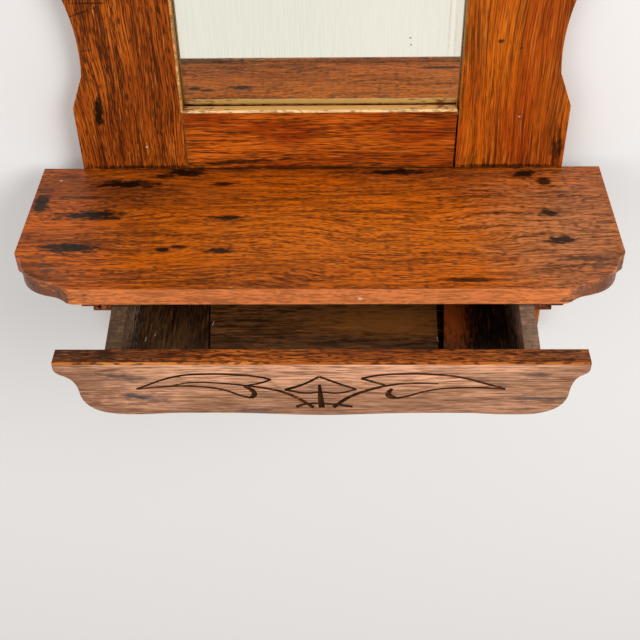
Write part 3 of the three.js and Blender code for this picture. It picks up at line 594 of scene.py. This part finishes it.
def dusty_box_side():
    """Sawn box side, never varnished: grey-brown with saw marks across, with painted shade low down by the
    floor and painted shade and light on the tops of the sides.
    """
    marks = [
        # Painted shade: the sides and back are darkened nearly to black low down by the floor.
        ((0, -150, FLOOR_TOP + 12), (185, 130, 24), 0.2, "#140D09", 0.85),
        # Painted shade on the left side's top edge.
        ((-169, -190, FLOOR_TOP + 50), (14, 130, 12), 0.4, "#4A3A2C", 0.75),
        # Painted light on the right side's top edge, paler and greyer.
        ((169, -190, FLOOR_TOP + 50), (14, 130, 12), 0.4, "#A88C7A", 0.22),
    ]
    return wood(
        "Y", ("bare", "#6E5644", "#3A2A1E"), 59,
        streak=(40, 5, 0.4), pore=(2.2, 1.6, 0.5), fine=(2.0, 9, 0.7), wander=3,
        sheen=0.05, rough=(0.7, 0.85), patches=marks, relief=0.15,
    )


def dusty_box_floor(along, light, deep, seed, marks):
    """Thin floor board of the drawer, unvarnished and dirty, with grey dust settled on it. Its marks can add
    painted light and shade.
    """
    return wood(
        along, (light, deep, "#160E09"), seed,
        streak=(46, 4.5, 0.6), pore=(9, 1.5, 0.5), fine=(22, 2.4, 0.6), wander=5,
        sheen=0.05, rough=(0.7, 0.85), patches=marks, relief=0.12,
    )


def rubbed_runner():
    """Runner strip, stained on its outside and rubbed bare where the drawer slides."""
    return wood(
        "Y", ("#9A5430", "#74402A", "#2A160E"), 71,
        streak=(40, 4, 0.5), pore=(6, 1.5, 0.5), sheen=0.1, rough=(0.5, 0.7),
    )


def rough_sawn_backboard():
    """Thin pine backboard, rough sawn and browned with age."""
    return wood(
        "Z", ("#96714A", "#7C5A38", "#4A3220"), 79,
        streak=(160, 9, 0.45), pore=(4, 1.8, 0.25), fine=(2.4, 26, 0.4), wander=12,
        sheen=0.05, rough=(0.75, 0.9), relief=0.15,
    )


# ---- Mirror and metal


def old_mirror():
    """Silvered plate glass whose silver has turned thin at the edges and in a few specks."""
    polished = {"Metallic": 1.0, "Roughness": 0.02, "Coat Weight": 0.15, "Coat Roughness": 0.02}
    material, tree, shader = new_material(polished)
    place, _ = in_millimetres(tree)
    clouds = add_node(tree, "ShaderNodeTexNoise", {"Scale": 0.35, "Detail": 3.0}, {"Vector": place})
    ragged = add_node(tree, "ShaderNodeMath", {"operation": "MULTIPLY_ADD", 1: 2.0, 2: -1.0}, {0: clouds})
    yellow, brown, bloom = "#D8D4C2", "#6E6452", "#F4FBF2"
    # X and height of a mark, its half width and half height, softness, colour and strength.
    flaws = (
        (70, 130, 55, 90, 0.9, bloom, 0.35), (77.5, 123.4, 0.8, 0.8, 0.4, brown, 0.8),
        (78.2, 116.9, 0.7, 0.7, 0.4, brown, 0.8), (113.2, 140, 0.9, 48, 0.6, bloom, 0.8),
        (110.2, 150, 0.5, 36, 0.6, yellow, 0.8), (116.0, 128, 0.6, 30, 0.6, yellow, 0.7),
        (121, 200, 5, 150, 0.9, yellow, 0.4), (-121, 230, 3, 170, 0.9, yellow, 0.4),
    )
    marks = [((x, GLASS_LOW.y / MM, z), (wide, 9, high), *rest) for x, z, wide, high, *rest in flaws]
    wisps = fibre_noise(tree, place, 0.9, 35, 5)
    colour, _ = coat(tree, "#E2EEE2", "silver", wisps, (0.3, 0.7))
    colour = with_marks(tree, colour, marks, place, ragged)
    tree.links.new(colour, shader.inputs["Base Color"])
    return material


def ground_glass_edge():
    """Ground edge of the glass plate, greenish and dull."""
    material, tree, shader = new_material({"Roughness": 0.5, "IOR": 1.52})
    place, _ = in_millimetres(tree)
    grit = add_node(tree, "ShaderNodeTexNoise", {"Scale": 0.9}, {"Vector": place})
    greens = {"data_type": "RGBA", 6: linear("#5C7468"), 7: linear("#8FA79A")}
    colour = add_node(tree, "ShaderNodeMix", greens, {0: grit})
    tree.links.new(colour.outputs[2], shader.inputs["Base Color"])
    return material


def dull_steel():
    """Old bright steel gone grey, with brown rust freckles a millimetre or two apart."""
    material, tree, shader = new_material({"Metallic": 1.0})
    place, _ = in_millimetres(tree)
    freckled = {"Scale": 0.7, "Detail": 4.0, "Roughness": 0.65}
    rust = add_node(tree, "ShaderNodeTexNoise", freckled, {"Vector": place})
    colour, _ = coat(tree, "steel", "#5A3520", rust, (0.5, 0.62), 0.8)
    tree.links.new(colour, shader.inputs["Base Color"])
    dulled = {"interpolation_type": "SMOOTHSTEP", "From Min": 0.3, "From Max": 0.7, "To Max": 0.6}
    rough = add_node(tree, "ShaderNodeMapRange", dulled, {"Value": rust})
    tree.links.new(rough.outputs["Result"], shader.inputs["Roughness"])
    bump = add_node(tree, "ShaderNodeBump", {"Strength": 0.4, "Distance": 0.1 * MM}, {"Height": rust})
    tree.links.new(bump.outputs["Normal"], shader.inputs["Normal"])
    return material


def nail_tip_with_painted_glint():
    """Cut end of a wire nail, coloured pale cream to near white as a painted glint in the dark drawer."""
    material, tree, shader = new_material({"Metallic": 0.25, "Roughness": 0.35})
    place, _ = in_millimetres(tree)
    grit = add_node(tree, "ShaderNodeTexNoise", {"Scale": 1.5}, {"Vector": place})
    # Painted highlight: the pale colours make the tip read as a glint.
    colour, _ = coat(tree, "#C8A070", "#FFF6E0", grit, (0.35, 0.5))
    tree.links.new(colour, shader.inputs["Base Color"])
    return material


def shared(maker):
    """The one copy of a finish that several pieces share, named as its maker is."""
    finish = bpy.data.materials.get(maker.__name__)
    if finish is None:
        finish = maker()
        finish.name = maker.__name__
    return finish


# ---- Dressing the boards


JOIN_MM = 0.01  # Facet corners nearer than this are one corner.
FLAT_DEG = 0.6  # Facets that meet flatter than this are one face.
SHARP_DEG = 40  # Edges sharper than this are rubbed round.


def merged_copy(node_name, name, rubbed, width, split=None):
    """A copy of a board of the frame with its loose facets joined and the chosen edges rubbed round.

    rubbed is asked about the middle of each sharp edge, in millimetres. Edges are first split at
    the height split, so that one can be rubbed above it and not below.
    """
    bm = bmesh.new()
    bm.from_mesh(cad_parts[node_name].data)
    bmesh.ops.remove_doubles(bm, verts=bm.verts, dist=JOIN_MM * MM)
    bmesh.ops.dissolve_limit(bm, angle_limit=math.radians(FLAT_DEG), verts=bm.verts, edges=bm.edges)
    if split is not None:
        everything = [*bm.verts, *bm.edges, *bm.faces]
        bmesh.ops.bisect_plane(bm, geom=everything, plane_co=(0, 0, split * MM), plane_no=(0, 0, 1))
    sharp = [
        edge
        for edge in bm.edges
        if len(edge.link_faces) == 2
        and edge.calc_face_angle(0) > math.radians(SHARP_DEG)
        and rubbed((edge.verts[0].co + edge.verts[1].co) / 2 / MM)
    ]
    rounding = {"affect": "EDGES", "segments": 3, "profile": 0.5, "material": -1, "clamp_overlap": True}
    worn = bmesh.ops.bevel(bm, geom=sharp, offset=width, **rounding)
    for face in worn["faces"]:
        face.material_index = 1
    return mesh_from(bm, name)


def dress(node_name, finish, arris_finish, arris):
    """Gives a board of the frame its finish and a rubbed edge in its own finish."""
    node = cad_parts[node_name]
    node.data.materials.clear()
    node.data.materials.append(finish)
    node.data.materials.append(arris_finish)
    add_edge_wear(node, arris)


def rubbed_board(node_name, name, finishes_pair, rubbed, width, arris, split=None):
    """Replaces a board with a copy that is worn wider along some edges than along the rest."""
    data = merged_copy(node_name, name, rubbed, width, split)
    board = place_piece(name, data, "wall_frame", *finishes_pair)
    add_edge_wear(board, arris)
    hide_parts(node_name)


def add_edge_wear(piece, arris):
    """Joins loose facets, drops the seams across flat faces, and rounds the sharp edges."""
    weld = piece.modifiers.new("join_facets", "WELD")
    weld.merge_threshold = JOIN_MM * MM
    flat = piece.modifiers.new("clear_flats", "DECIMATE")
    flat.decimate_type = "DISSOLVE"
    flat.angle_limit = math.radians(FLAT_DEG)
    rounded = piece.modifiers.new("rubbed_edges", "BEVEL")
    rounded.width = arris
    rounded.segments = 2
    rounded.limit_method = "ANGLE"
    rounded.angle_limit = math.radians(SHARP_DEG)
    rounded.material = 1
    rounded.harden_normals = False


def at_sight(point):
    """Whether an edge point lies on the front arris round the visible mirror."""
    beside = abs(abs(point.x) - SIGHT_SIDE) < 0.5 and point.z > SIGHT_FOOT
    below = abs(point.z - SIGHT_FOOT) < 0.5 and abs(point.x) < SIGHT_SIDE
    return point.y < FRAME_FACE + 0.1 and (beside or below)


class WALLMIRROR_OT_frame_boards(Operator):
    """Finish the stiles, the bottom rail and the crest rail."""

    bl_idname = "wallmirror.frame_boards"
    bl_label = "Frame boards"

    def execute(self, context):
        edge = shared(frame_arris)
        arris = sizes().arris
        pale = shared(sight_arris)
        width = sizes().sight_arris
        stile = (shared(stained_oak_left_stile), pale)
        rubbed_board("left_stile", "worn_left_stile", stile, at_sight, width, arris * 0.6, SIGHT_FOOT)
        rail = (shared(stained_oak_rail), pale)
        rubbed_board("bottom_rail", "worn_bottom_rail", rail, at_sight, width, arris * 0.6)
        dress("right_stile", shared(stained_oak_right_stile), edge, arris)
        dress("crest_rail", shared(stained_oak_crest), edge, arris)
        return {"FINISHED"}


class WALLMIRROR_OT_looking_glass(Operator):
    """Silver the glass plate and finish the backboard behind it."""

    bl_idname = "wallmirror.looking_glass"
    bl_label = "Looking glass"

    def execute(self, context):
        low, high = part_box("mirror_glass")
        # The silver is at the back of the plate. Seen through the glass it looks a third nearer.
        low.y += (high.y - low.y) * 0.6
        bm = bmesh.new()
        bmesh.ops.create_cube(bm, size=1.0)
        bmesh.ops.scale(bm, vec=high - low, verts=bm.verts)
        bmesh.ops.translate(bm, vec=(low + high) / 2, verts=bm.verts)
        bmesh.ops.bevel(
            bm, geom=bm.edges[:], offset=0.3 * MM, segments=1, profile=0.5, affect="EDGES", material=-1
        )
        for face in bm.faces:
            face.material_index = 0 if face.normal.y < -0.9 else 1
        data = mesh_from(bm, "silvered_plate")
        glass = (shared(old_mirror), shared(ground_glass_edge))
        plate = place_piece("silvered_plate", data, "wall_frame", *glass)
        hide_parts("mirror_glass")
        board = shared(rough_sawn_backboard)
        dress("mirror_backboard", board, board, sizes().box_arris)
        return {"FINISHED"}


class WALLMIRROR_OT_shelf(Operator):
    """Finish the shelf board."""

    bl_idname = "wallmirror.shelf"
    bl_label = "Shelf"

    def execute(self, context):
        dress("shelf", shared(rubbed_oak_shelf), shared(shelf_arris), sizes().arris)
        return {"FINISHED"}


class WALLMIRROR_OT_runners(Operator):
    """Finish the runners under the shelf."""

    bl_idname = "wallmirror.runners"
    bl_label = "Drawer runners"

    def execute(self, context):
        finish = shared(rubbed_runner)
        for side in ("left", "right"):
            dress(f"runner_block_{side}", finish, finish, sizes().box_arris)
            dress(f"runner_lip_{side}", finish, finish, sizes().box_arris)
        return {"FINISHED"}


# ---- Drawer front and its carving

# Carved lines of the drawer front. Each is a list of points, X from the middle and height
# above the board's foot in millimetres, and the line's width at its start, middle and end
# as a multiple of a thin line.
CARVED_LINES = (
    ([(-145, 29.6), (-113, 43.4), (-87, 46.3), (-60, 45.0), (-46, 43.0), (-37, 40.2)], (0.8, 1.0, 0.9)),
    ([(-37, 40.2), (-46, 36.2), (-57, 33.4)], (0.9, 0.9, 0.8)),
    ([(-144, 29.7), (-114, 32.9), (-92, 32.2), (-75, 28.7), (-62, 22.4), (-54, 19.6)], (0.8, 0.9, 1.0)),
    ([(-54, 19.6), (-51, 23.3), (-52.6, 28.3), (-59, 32.6)], (1.6, 2.3, 0.9)),
    (
        [(-117, 33.4), (-99, 37.0), (-78, 36.2), (-57, 33.4), (-38, 29.6), (-26, 25.2), (-13, 16.8), (-4, 8.6)],
        (0.5, 1.0, 1.4),
    ),
    ([(-26.5, 28.7), (-11, 35.3), (1.0, 43.4)], (1.3, 1.0, 1.0)),
    ([(1.0, 43.4), (15, 36.3), (30.3, 29.3)], (1.0, 1.0, 0.9)),
    ([(-26.5, 28.7), (-9, 25.2), (1, 26.4)], (1.0, 0.9, 0.9)),
    ([(1, 26.4), (17, 25.3), (30.3, 29.3)], (0.9, 0.9, 0.9)),
    ([(1.0, 34.6), (1.8, 20), (2.6, 8.4)], (1.1, 2.1, 2.4)),
    ([(-18, 9.6), (-10, 12.8), (9, 12.8), (27.4, 9.7)], (1.5, 0.8, 1.2)),
    ([(12, 8.9), (23.5, 19.8), (38.7, 28.0), (58, 34.2), (79, 36.1), (95, 35.7)], (1.6, 1.2, 0.5)),
    ([(34, 41.4), (44, 37.4), (54.5, 33.5)], (1.1, 0.9, 0.8)),
    ([(34, 41.4), (46, 44.6), (68, 46.3), (91, 45.7), (113, 42.3), (133, 35.3), (148, 29.6)],
     (0.9, 1.0, 1.0)),
    ([(148, 29.6), (122, 31.4), (99, 30.1), (83, 26.5), (71, 21.6), (61.7, 19.4)], (1.0, 0.8, 1.1)),
    ([(61.7, 19.4), (55.8, 23.3), (58.4, 30.2)], (1.6, 2.4, 1.2)),
)


def gouge_cutter(points, widths, face_y, foot_z, line_width):
    """A round bar along a carved line, half sunk in the face, that cuts the line."""
    path = bpy.data.curves.new("gouge_path", "CURVE")
    path.dimensions = "3D"
    path.bevel_depth = 1.0
    path.bevel_resolution = 2
    path.resolution_u = 5
    path.use_fill_caps = True
    spline = path.splines.new("BEZIER")
    spline.bezier_points.add(len(points) - 1)
    start, middle, end = widths
    first, second = middle - start, end - middle
    for index, (x, height) in enumerate(points):
        along = index / (len(points) - 1)
        width = start + first * 2 * along if along < 0.5 else middle + second * (2 * along - 1)
        bend = spline.bezier_points[index]
        bend.co = (x * MM, face_y * MM, (foot_z + height) * MM)
        bend.handle_left_type = bend.handle_right_type = "AUTO"
        bend.radius = line_width * width / 2
    bar = bpy.data.objects.new("gouge_bar", path)
    bpy.context.scene.collection.objects.link(bar)
    data = bpy.data.meshes.new_from_object(bar.evaluated_get(bpy.context.evaluated_depsgraph_get()))
    bpy.data.objects.remove(bar)
    cutter = bpy.data.objects.new("gouge_cutter", data)
    bpy.context.scene.collection.objects.link(cutter)
    return cutter


def carve(piece, lines, face_y, foot_z, line_width, finish):
    """Cuts the lines into a board and gives the cuts their own finish."""
    cutters = []
    for points, widths in lines:
        cutter = gouge_cutter(points, widths, face_y, foot_z, line_width)
        cutter.data.materials.clear()
        cutter.data.materials.append(finish)
        for polygon in cutter.data.polygons:
            polygon.material_index = 0
        cut = piece.modifiers.new("carved_line", "BOOLEAN")
        cut.operation = "DIFFERENCE"
        cut.solver = "EXACT"
        cut.material_mode = "TRANSFER"
        cut.object = cutter
        cutters.append(cutter)
    bpy.context.view_layer.update()
    data = bpy.data.meshes.new_from_object(piece.evaluated_get(bpy.context.evaluated_depsgraph_get()))
    piece.modifiers.clear()
    piece.data = data
    for cutter in cutters:
        bpy.data.objects.remove(cutter)


def at_front_top(point):
    """Whether an edge point lies on the top front arris of the drawer front."""
    return abs(point.y - DRAWER_FACE) < 0.1 and abs(point.z - DRAWER_HEAD) < 0.1


class WALLMIRROR_OT_drawer_front(Operator):
    """Carve and finish the drawer front."""

    bl_idname = "wallmirror.drawer_front"
    bl_label = "Carved drawer front"

    def execute(self, context):
        face = shared(drawer_face_with_painted_sheen)
        edge = shared(stained_oak_drawer_edge)
        rubbed = shared(drawer_arris)
        cuts = shared(carved_line)
        data = merged_copy("drawer_front", "carved_drawer_front", at_front_top, sizes().front_arris)
        board = place_piece("carved_drawer_front", data, "drawer", edge, rubbed, face, cuts)
        add_edge_wear(board, sizes().box_arris)
        carve(board, CARVED_LINES, DRAWER_FACE, DRAWER_FOOT, sizes().gouge, cuts)
        slots = [m.name for m in board.data.materials]
        # The flat front takes the face finish with its painted sheen; the other faces keep the edge finish.
        for polygon in board.data.polygons:
            flat_front = polygon.normal.y < -0.95 and abs(polygon.center.y - DRAWER_FACE * MM) < 0.02 * MM
            if flat_front and polygon.material_index == slots.index(edge.name):
                polygon.material_index = slots.index(face.name)
        soften(board.data, 40)
        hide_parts("drawer_front")
        return {"FINISHED"}


class WALLMIRROR_OT_drawer_box(Operator):
    """Finish the sides, the back, the hanging strips and the floor of the drawer."""

    bl_idname = "wallmirror.drawer_box"
    bl_label = "Drawer box"

    def execute(self, context):
        side = shared(dusty_box_side)
        rub = shared(rubbed_runner)
        arris = sizes().box_arris
        for name in ("drawer_side_left", "drawer_side_right", "drawer_back"):
            dress(name, side, side, arris)
        for name in ("drawer_flange_left", "drawer_flange_right"):
            dress(name, rub, rub, arris)
        dust = ((0, -215, FLOOR_TOP), (330, 30, 5), 0.8, "dust", 0.45)
        # Painted light: an orange pool of light on the middle floor board.
        painted_light_pool = ((60, -150, FLOOR_TOP), (60, 16, 5), 0.8, "#A06028", 0.7)
        # Painted shade: the bottom of the gap between the middle and right boards is painted nearly black.
        joint = ((106, -160, FLOOR_TOP - 5.4), (12, 110, 2.6), 0.3, "#080504", 0.95)
        # Painted light: a bright orange-red patch on the right floor board by the joint.
        red = ((115, -140, FLOOR_TOP), (12, 40, 5), 0.8, "#C05A24", 0.85)
        for place, along, light, deep, seed, marks in (
            ("left", "Y", "#74502F", "#523420", 83, [dust]),
            ("middle", "X", "#885630", "#623C20", 89, [painted_light_pool, dust, joint]),
            ("right", "Y", "#4A2E1C", "#301E14", 97, [red, dust]),
        ):
            board = dusty_box_floor(along, light, deep, seed, marks)
            board.name = f"dusty_floor_{place}"
            dress(f"drawer_floor_{place}", board, board, arris)
        return {"FINISHED"}


# ---- Metal

# Nail tips that come up through the drawer floor: X, Y, height and lean in degrees.
NAIL_TIPS = ((-152, -176, 3.6, 30), (-96, -155, 3.2, 40), (101, -173, 1.6, -20), (-144, -169, 2.0, 15))
NAIL_ROOT_MM = 3  # How deep a nail tip starts below the floor's top.

BRAD_HEIGHTS_MM = (95, 205, 315)
BRAD_SPREADS_MM = (-70, 70)
BRAD_BITE_MM = 2  # How deep a brad stands in the board.
BRAD_GAP_MM = 0.1  # From a brad to the backboard.
PLATE_ARRIS_MM = 0.3


def pin(bm, tip, head, radius):
    """A tapered round pin from its head to its tip."""
    along = tip - head
    turn = along.to_track_quat("Z", "Y").to_matrix().to_4x4()
    cone = {"radius1": radius, "radius2": radius * 0.35, "depth": along.length}
    middle = Matrix.Translation((tip + head) / 2)
    bmesh.ops.create_cone(bm, cap_ends=True, segments=10, matrix=middle @ turn, **cone)


class WALLMIRROR_OT_metal(Operator):
    """Finish the plates and screws, and add the nail tips and the glazing brads."""

    bl_idname = "wallmirror.metal"
    bl_label = "Nails, brads and plates"

    def execute(self, context):
        steel = shared(dull_steel)
        for name in ("hanger_plate_left", "hanger_plate_right"):
            dress(name, steel, steel, PLATE_ARRIS_MM * MM)
        for number in (1, 2, 3, 4):
            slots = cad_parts[f"shelf_screw_{number}"].data.materials
            slots.clear()
            slots.append(steel)
        self.nail_tips(shared(nail_tip_with_painted_glint))
        self.brads(steel)
        return {"FINISHED"}

    def nail_tips(self, steel):
        """Tips of floor nails that missed the sides and were left standing."""
        radius = sizes().nail / 2
        for index, (x, y, height, lean) in enumerate(NAIL_TIPS):
            root = Vector((x, y, FLOOR_TOP - NAIL_ROOT_MM)) * MM
            slant = math.tan(math.radians(lean))
            tip = Vector((x + slant * height, y + 0.4 * height, FLOOR_TOP + height)) * MM
            bm = bmesh.new()
            pin(bm, tip, root, radius)
            nail = place_piece(f"nail_tip_{index + 1}", mesh_from(bm, "nail_tip"), "drawer", steel)

    def brads(self, steel):
        """Headless brads in the rebate that hold the backboard against the glass."""
        low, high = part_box("mirror_backboard")
        radius = sizes().nail / 2
        y = high.y + radius + BRAD_GAP_MM * MM
        spots = [
            (Vector((edge, y, z * MM)), Vector((way, 0, 0)))
            for z in BRAD_HEIGHTS_MM
            for edge, way in ((low.x, 1), (high.x, -1))
        ]
        spots += [
            (Vector((x * MM, y, edge)), Vector((0, 0, way)))
            for x in BRAD_SPREADS_MM
            for edge, way in ((low.z, 1), (high.z, -1))
        ]
        bm = bmesh.new()
        for edge, way in spots:
            pin(bm, edge + way * sizes().brad, edge - way * BRAD_BITE_MM * MM, radius)
        brads = place_piece("glazing_brads", mesh_from(bm, "glazing_brads"), "wall_frame", steel)


# ---- Stage


def matt_plaster():
    """Matt pale plaster. Its back can't be seen, so the object shows from behind too."""
    material, tree, shader = new_material({"Roughness": 0.9, "Specular IOR Level": 0.1})
    shader.inputs["Base Color"].default_value = finishes().wall
    output = next(n for n in tree.nodes if n.type == "OUTPUT_MATERIAL")
    side = add_node(tree, "ShaderNodeNewGeometry")
    clear = add_node(tree, "ShaderNodeBsdfTransparent")
    both = add_node(tree, "ShaderNodeMixShader", None, {0: side.outputs["Backfacing"], 1: shader, 2: clear})
    tree.links.new(both.outputs["Shader"], output.inputs["Surface"])
    return material


# Soft lamps: name, place and aim in metres, width in metres and watts.
LAMPS = (
    ("window_light", (1.5, -1.65, 1.15), (0, -0.05, -0.15), 1.4, 38.0),
    ("room_fill", (-1.4, -1.9, 0.4), (0, -0.05, -0.1), 1.8, 12.0),
)
WALL_HALF_WIDTH = 3.0
WALL_GAP_MM = 0.6


class WALLMIRROR_OT_stage(Operator):
    """Set up the wall, the light, the world and the camera."""

    bl_idname = "wallmirror.stage"
    bl_label = "Stage"

    def execute(self, context):
        self.wall()
        self.world(context.scene)
        for lamp in LAMPS:
            self.lamp(*lamp)
        self.camera(context.scene)
        context.scene.view_settings.view_transform = "Standard"
        return {"FINISHED"}

    def wall(self):
        """A plain wall close behind the frame, which takes its shadow."""
        bm = bmesh.new()
        bmesh.ops.create_grid(bm, x_segments=1, y_segments=1, size=WALL_HALF_WIDTH)
        bmesh.ops.rotate(bm, verts=bm.verts, matrix=Matrix.Rotation(math.radians(90), 3, "X"))
        bmesh.ops.translate(bm, verts=bm.verts, vec=(0, WALL_GAP_MM * MM, 0))
        data = bpy.data.meshes.new("wall")
        bm.to_mesh(data)
        bm.free()
        wall = bpy.data.objects.new("wall", data)
        wall.data.materials.append(shared(matt_plaster))
        bpy.context.scene.collection.objects.link(wall)
        for ray in ("diffuse", "glossy", "transmission", "shadow"):
            setattr(wall, f"visible_{ray}", False)

    def world(self, scene):
        """Even room light. What the camera and the mirror see of the room is pale."""
        world = bpy.data.worlds.new("pale_room")
        world.use_nodes = True
        tree = world.node_tree
        tree.nodes.clear()
        rays = add_node(tree, "ShaderNodeLightPath").outputs
        both = {0: rays["Is Camera Ray"], 1: rays["Is Transmission Ray"]}
        seen = add_node(tree, "ShaderNodeMath", {"operation": "MAXIMUM"}, both)
        light, room, plain = (
            add_node(tree, "ShaderNodeBackground", {"Color": linear(colour), "Strength": strength})
            for colour, strength in (("#F6F4F2", 0.72), ("#FFF0EC", 1.02), ("#EFEDEA", 1.0))
        )
        shiny = {0: rays["Is Glossy Ray"], 1: light, 2: room}
        reflected = add_node(tree, "ShaderNodeMixShader", None, shiny)
        shown = add_node(tree, "ShaderNodeMixShader", None, {0: seen, 1: reflected, 2: plain})
        add_node(tree, "ShaderNodeOutputWorld", None, {"Surface": shown})
        scene.world = world

    def lamp(self, name, place, aim, size, watts):
        """A large soft lamp that faces a point."""
        data = bpy.data.lights.new(name, "AREA")
        data.shape = "DISK"
        data.size = size
        data.energy = watts
        lamp = bpy.data.objects.new(name, data)
        lamp.location = place
        lamp.rotation_euler = (Vector(aim) - Vector(place)).to_track_quat("-Z", "Y").to_euler()
        lamp.visible_glossy = False
        bpy.context.scene.collection.objects.link(lamp)

    def camera(self, scene):
        """The photograph's camera: place, yaw, downward pitch and roll."""
        yaw, tilt, roll = (
            Matrix.Rotation(math.radians(angle), 4, axis)
            for angle, axis in ((CAMERA_YAW_DEG, "Z"), (90 - CAMERA_PITCH_DEG, "X"), (CAMERA_ROLL_DEG, "Z"))
        )
        data = bpy.data.cameras.new("photo_camera")
        data.sensor_width = SENSOR_MM
        data.lens = CAMERA_FOCAL_PX / PHOTO_SIDE_PX * SENSOR_MM
        camera = bpy.data.objects.new("photo_camera", data)
        camera.matrix_world = Matrix.Translation(Vector(CAMERA_PLACE_MM) * MM) @ yaw @ tilt @ roll
        scene.collection.objects.link(camera)
        scene.camera = camera


# ---- Panel and registration


class WALLMIRROR_PT_panel(Panel):
    """Lists the pieces of the wall mirror with their sizes and colours."""

    bl_idname = "WALLMIRROR_PT_panel"
    bl_label = "Wall mirror"
    bl_space_type = "VIEW_3D"
    bl_region_type = "UI"
    bl_category = "Wall mirror"

    def draw(self, context):
        settings = context.scene.wall_mirror
        for operator in OPERATORS:
            self.layout.operator(operator.bl_idname)
        for group in (settings.sizes, settings.finishes):
            column = self.layout.column()
            for name in group.__annotations__:
                column.prop(group, name)


OPERATORS = (
    WALLMIRROR_OT_frame_boards,
    WALLMIRROR_OT_looking_glass,
    WALLMIRROR_OT_shelf,
    WALLMIRROR_OT_runners,
    WALLMIRROR_OT_drawer_front,
    WALLMIRROR_OT_drawer_box,
    WALLMIRROR_OT_metal,
    WALLMIRROR_OT_stage,
)
CLASSES = (WallMirrorSizes, WallMirrorFinishes, WallMirrorSettings, *OPERATORS, WALLMIRROR_PT_panel)


def register():
    for item in CLASSES:
        bpy.utils.register_class(item)
    bpy.types.Scene.wall_mirror = PointerProperty(type=WallMirrorSettings)


def unregister():
    del bpy.types.Scene.wall_mirror
    for item in reversed(CLASSES):
        bpy.utils.unregister_class(item)


def main():
    """Builds every piece in order."""
    register()
    bpy.ops.wallmirror.frame_boards()
    bpy.ops.wallmirror.looking_glass()
    bpy.ops.wallmirror.shelf()
    bpy.ops.wallmirror.runners()
    bpy.ops.wallmirror.drawer_front()
    bpy.ops.wallmirror.drawer_box()
    bpy.ops.wallmirror.metal()
    bpy.ops.wallmirror.stage()
    bpy.context.view_layer.update()


if __name__ == "__main__":
    main()
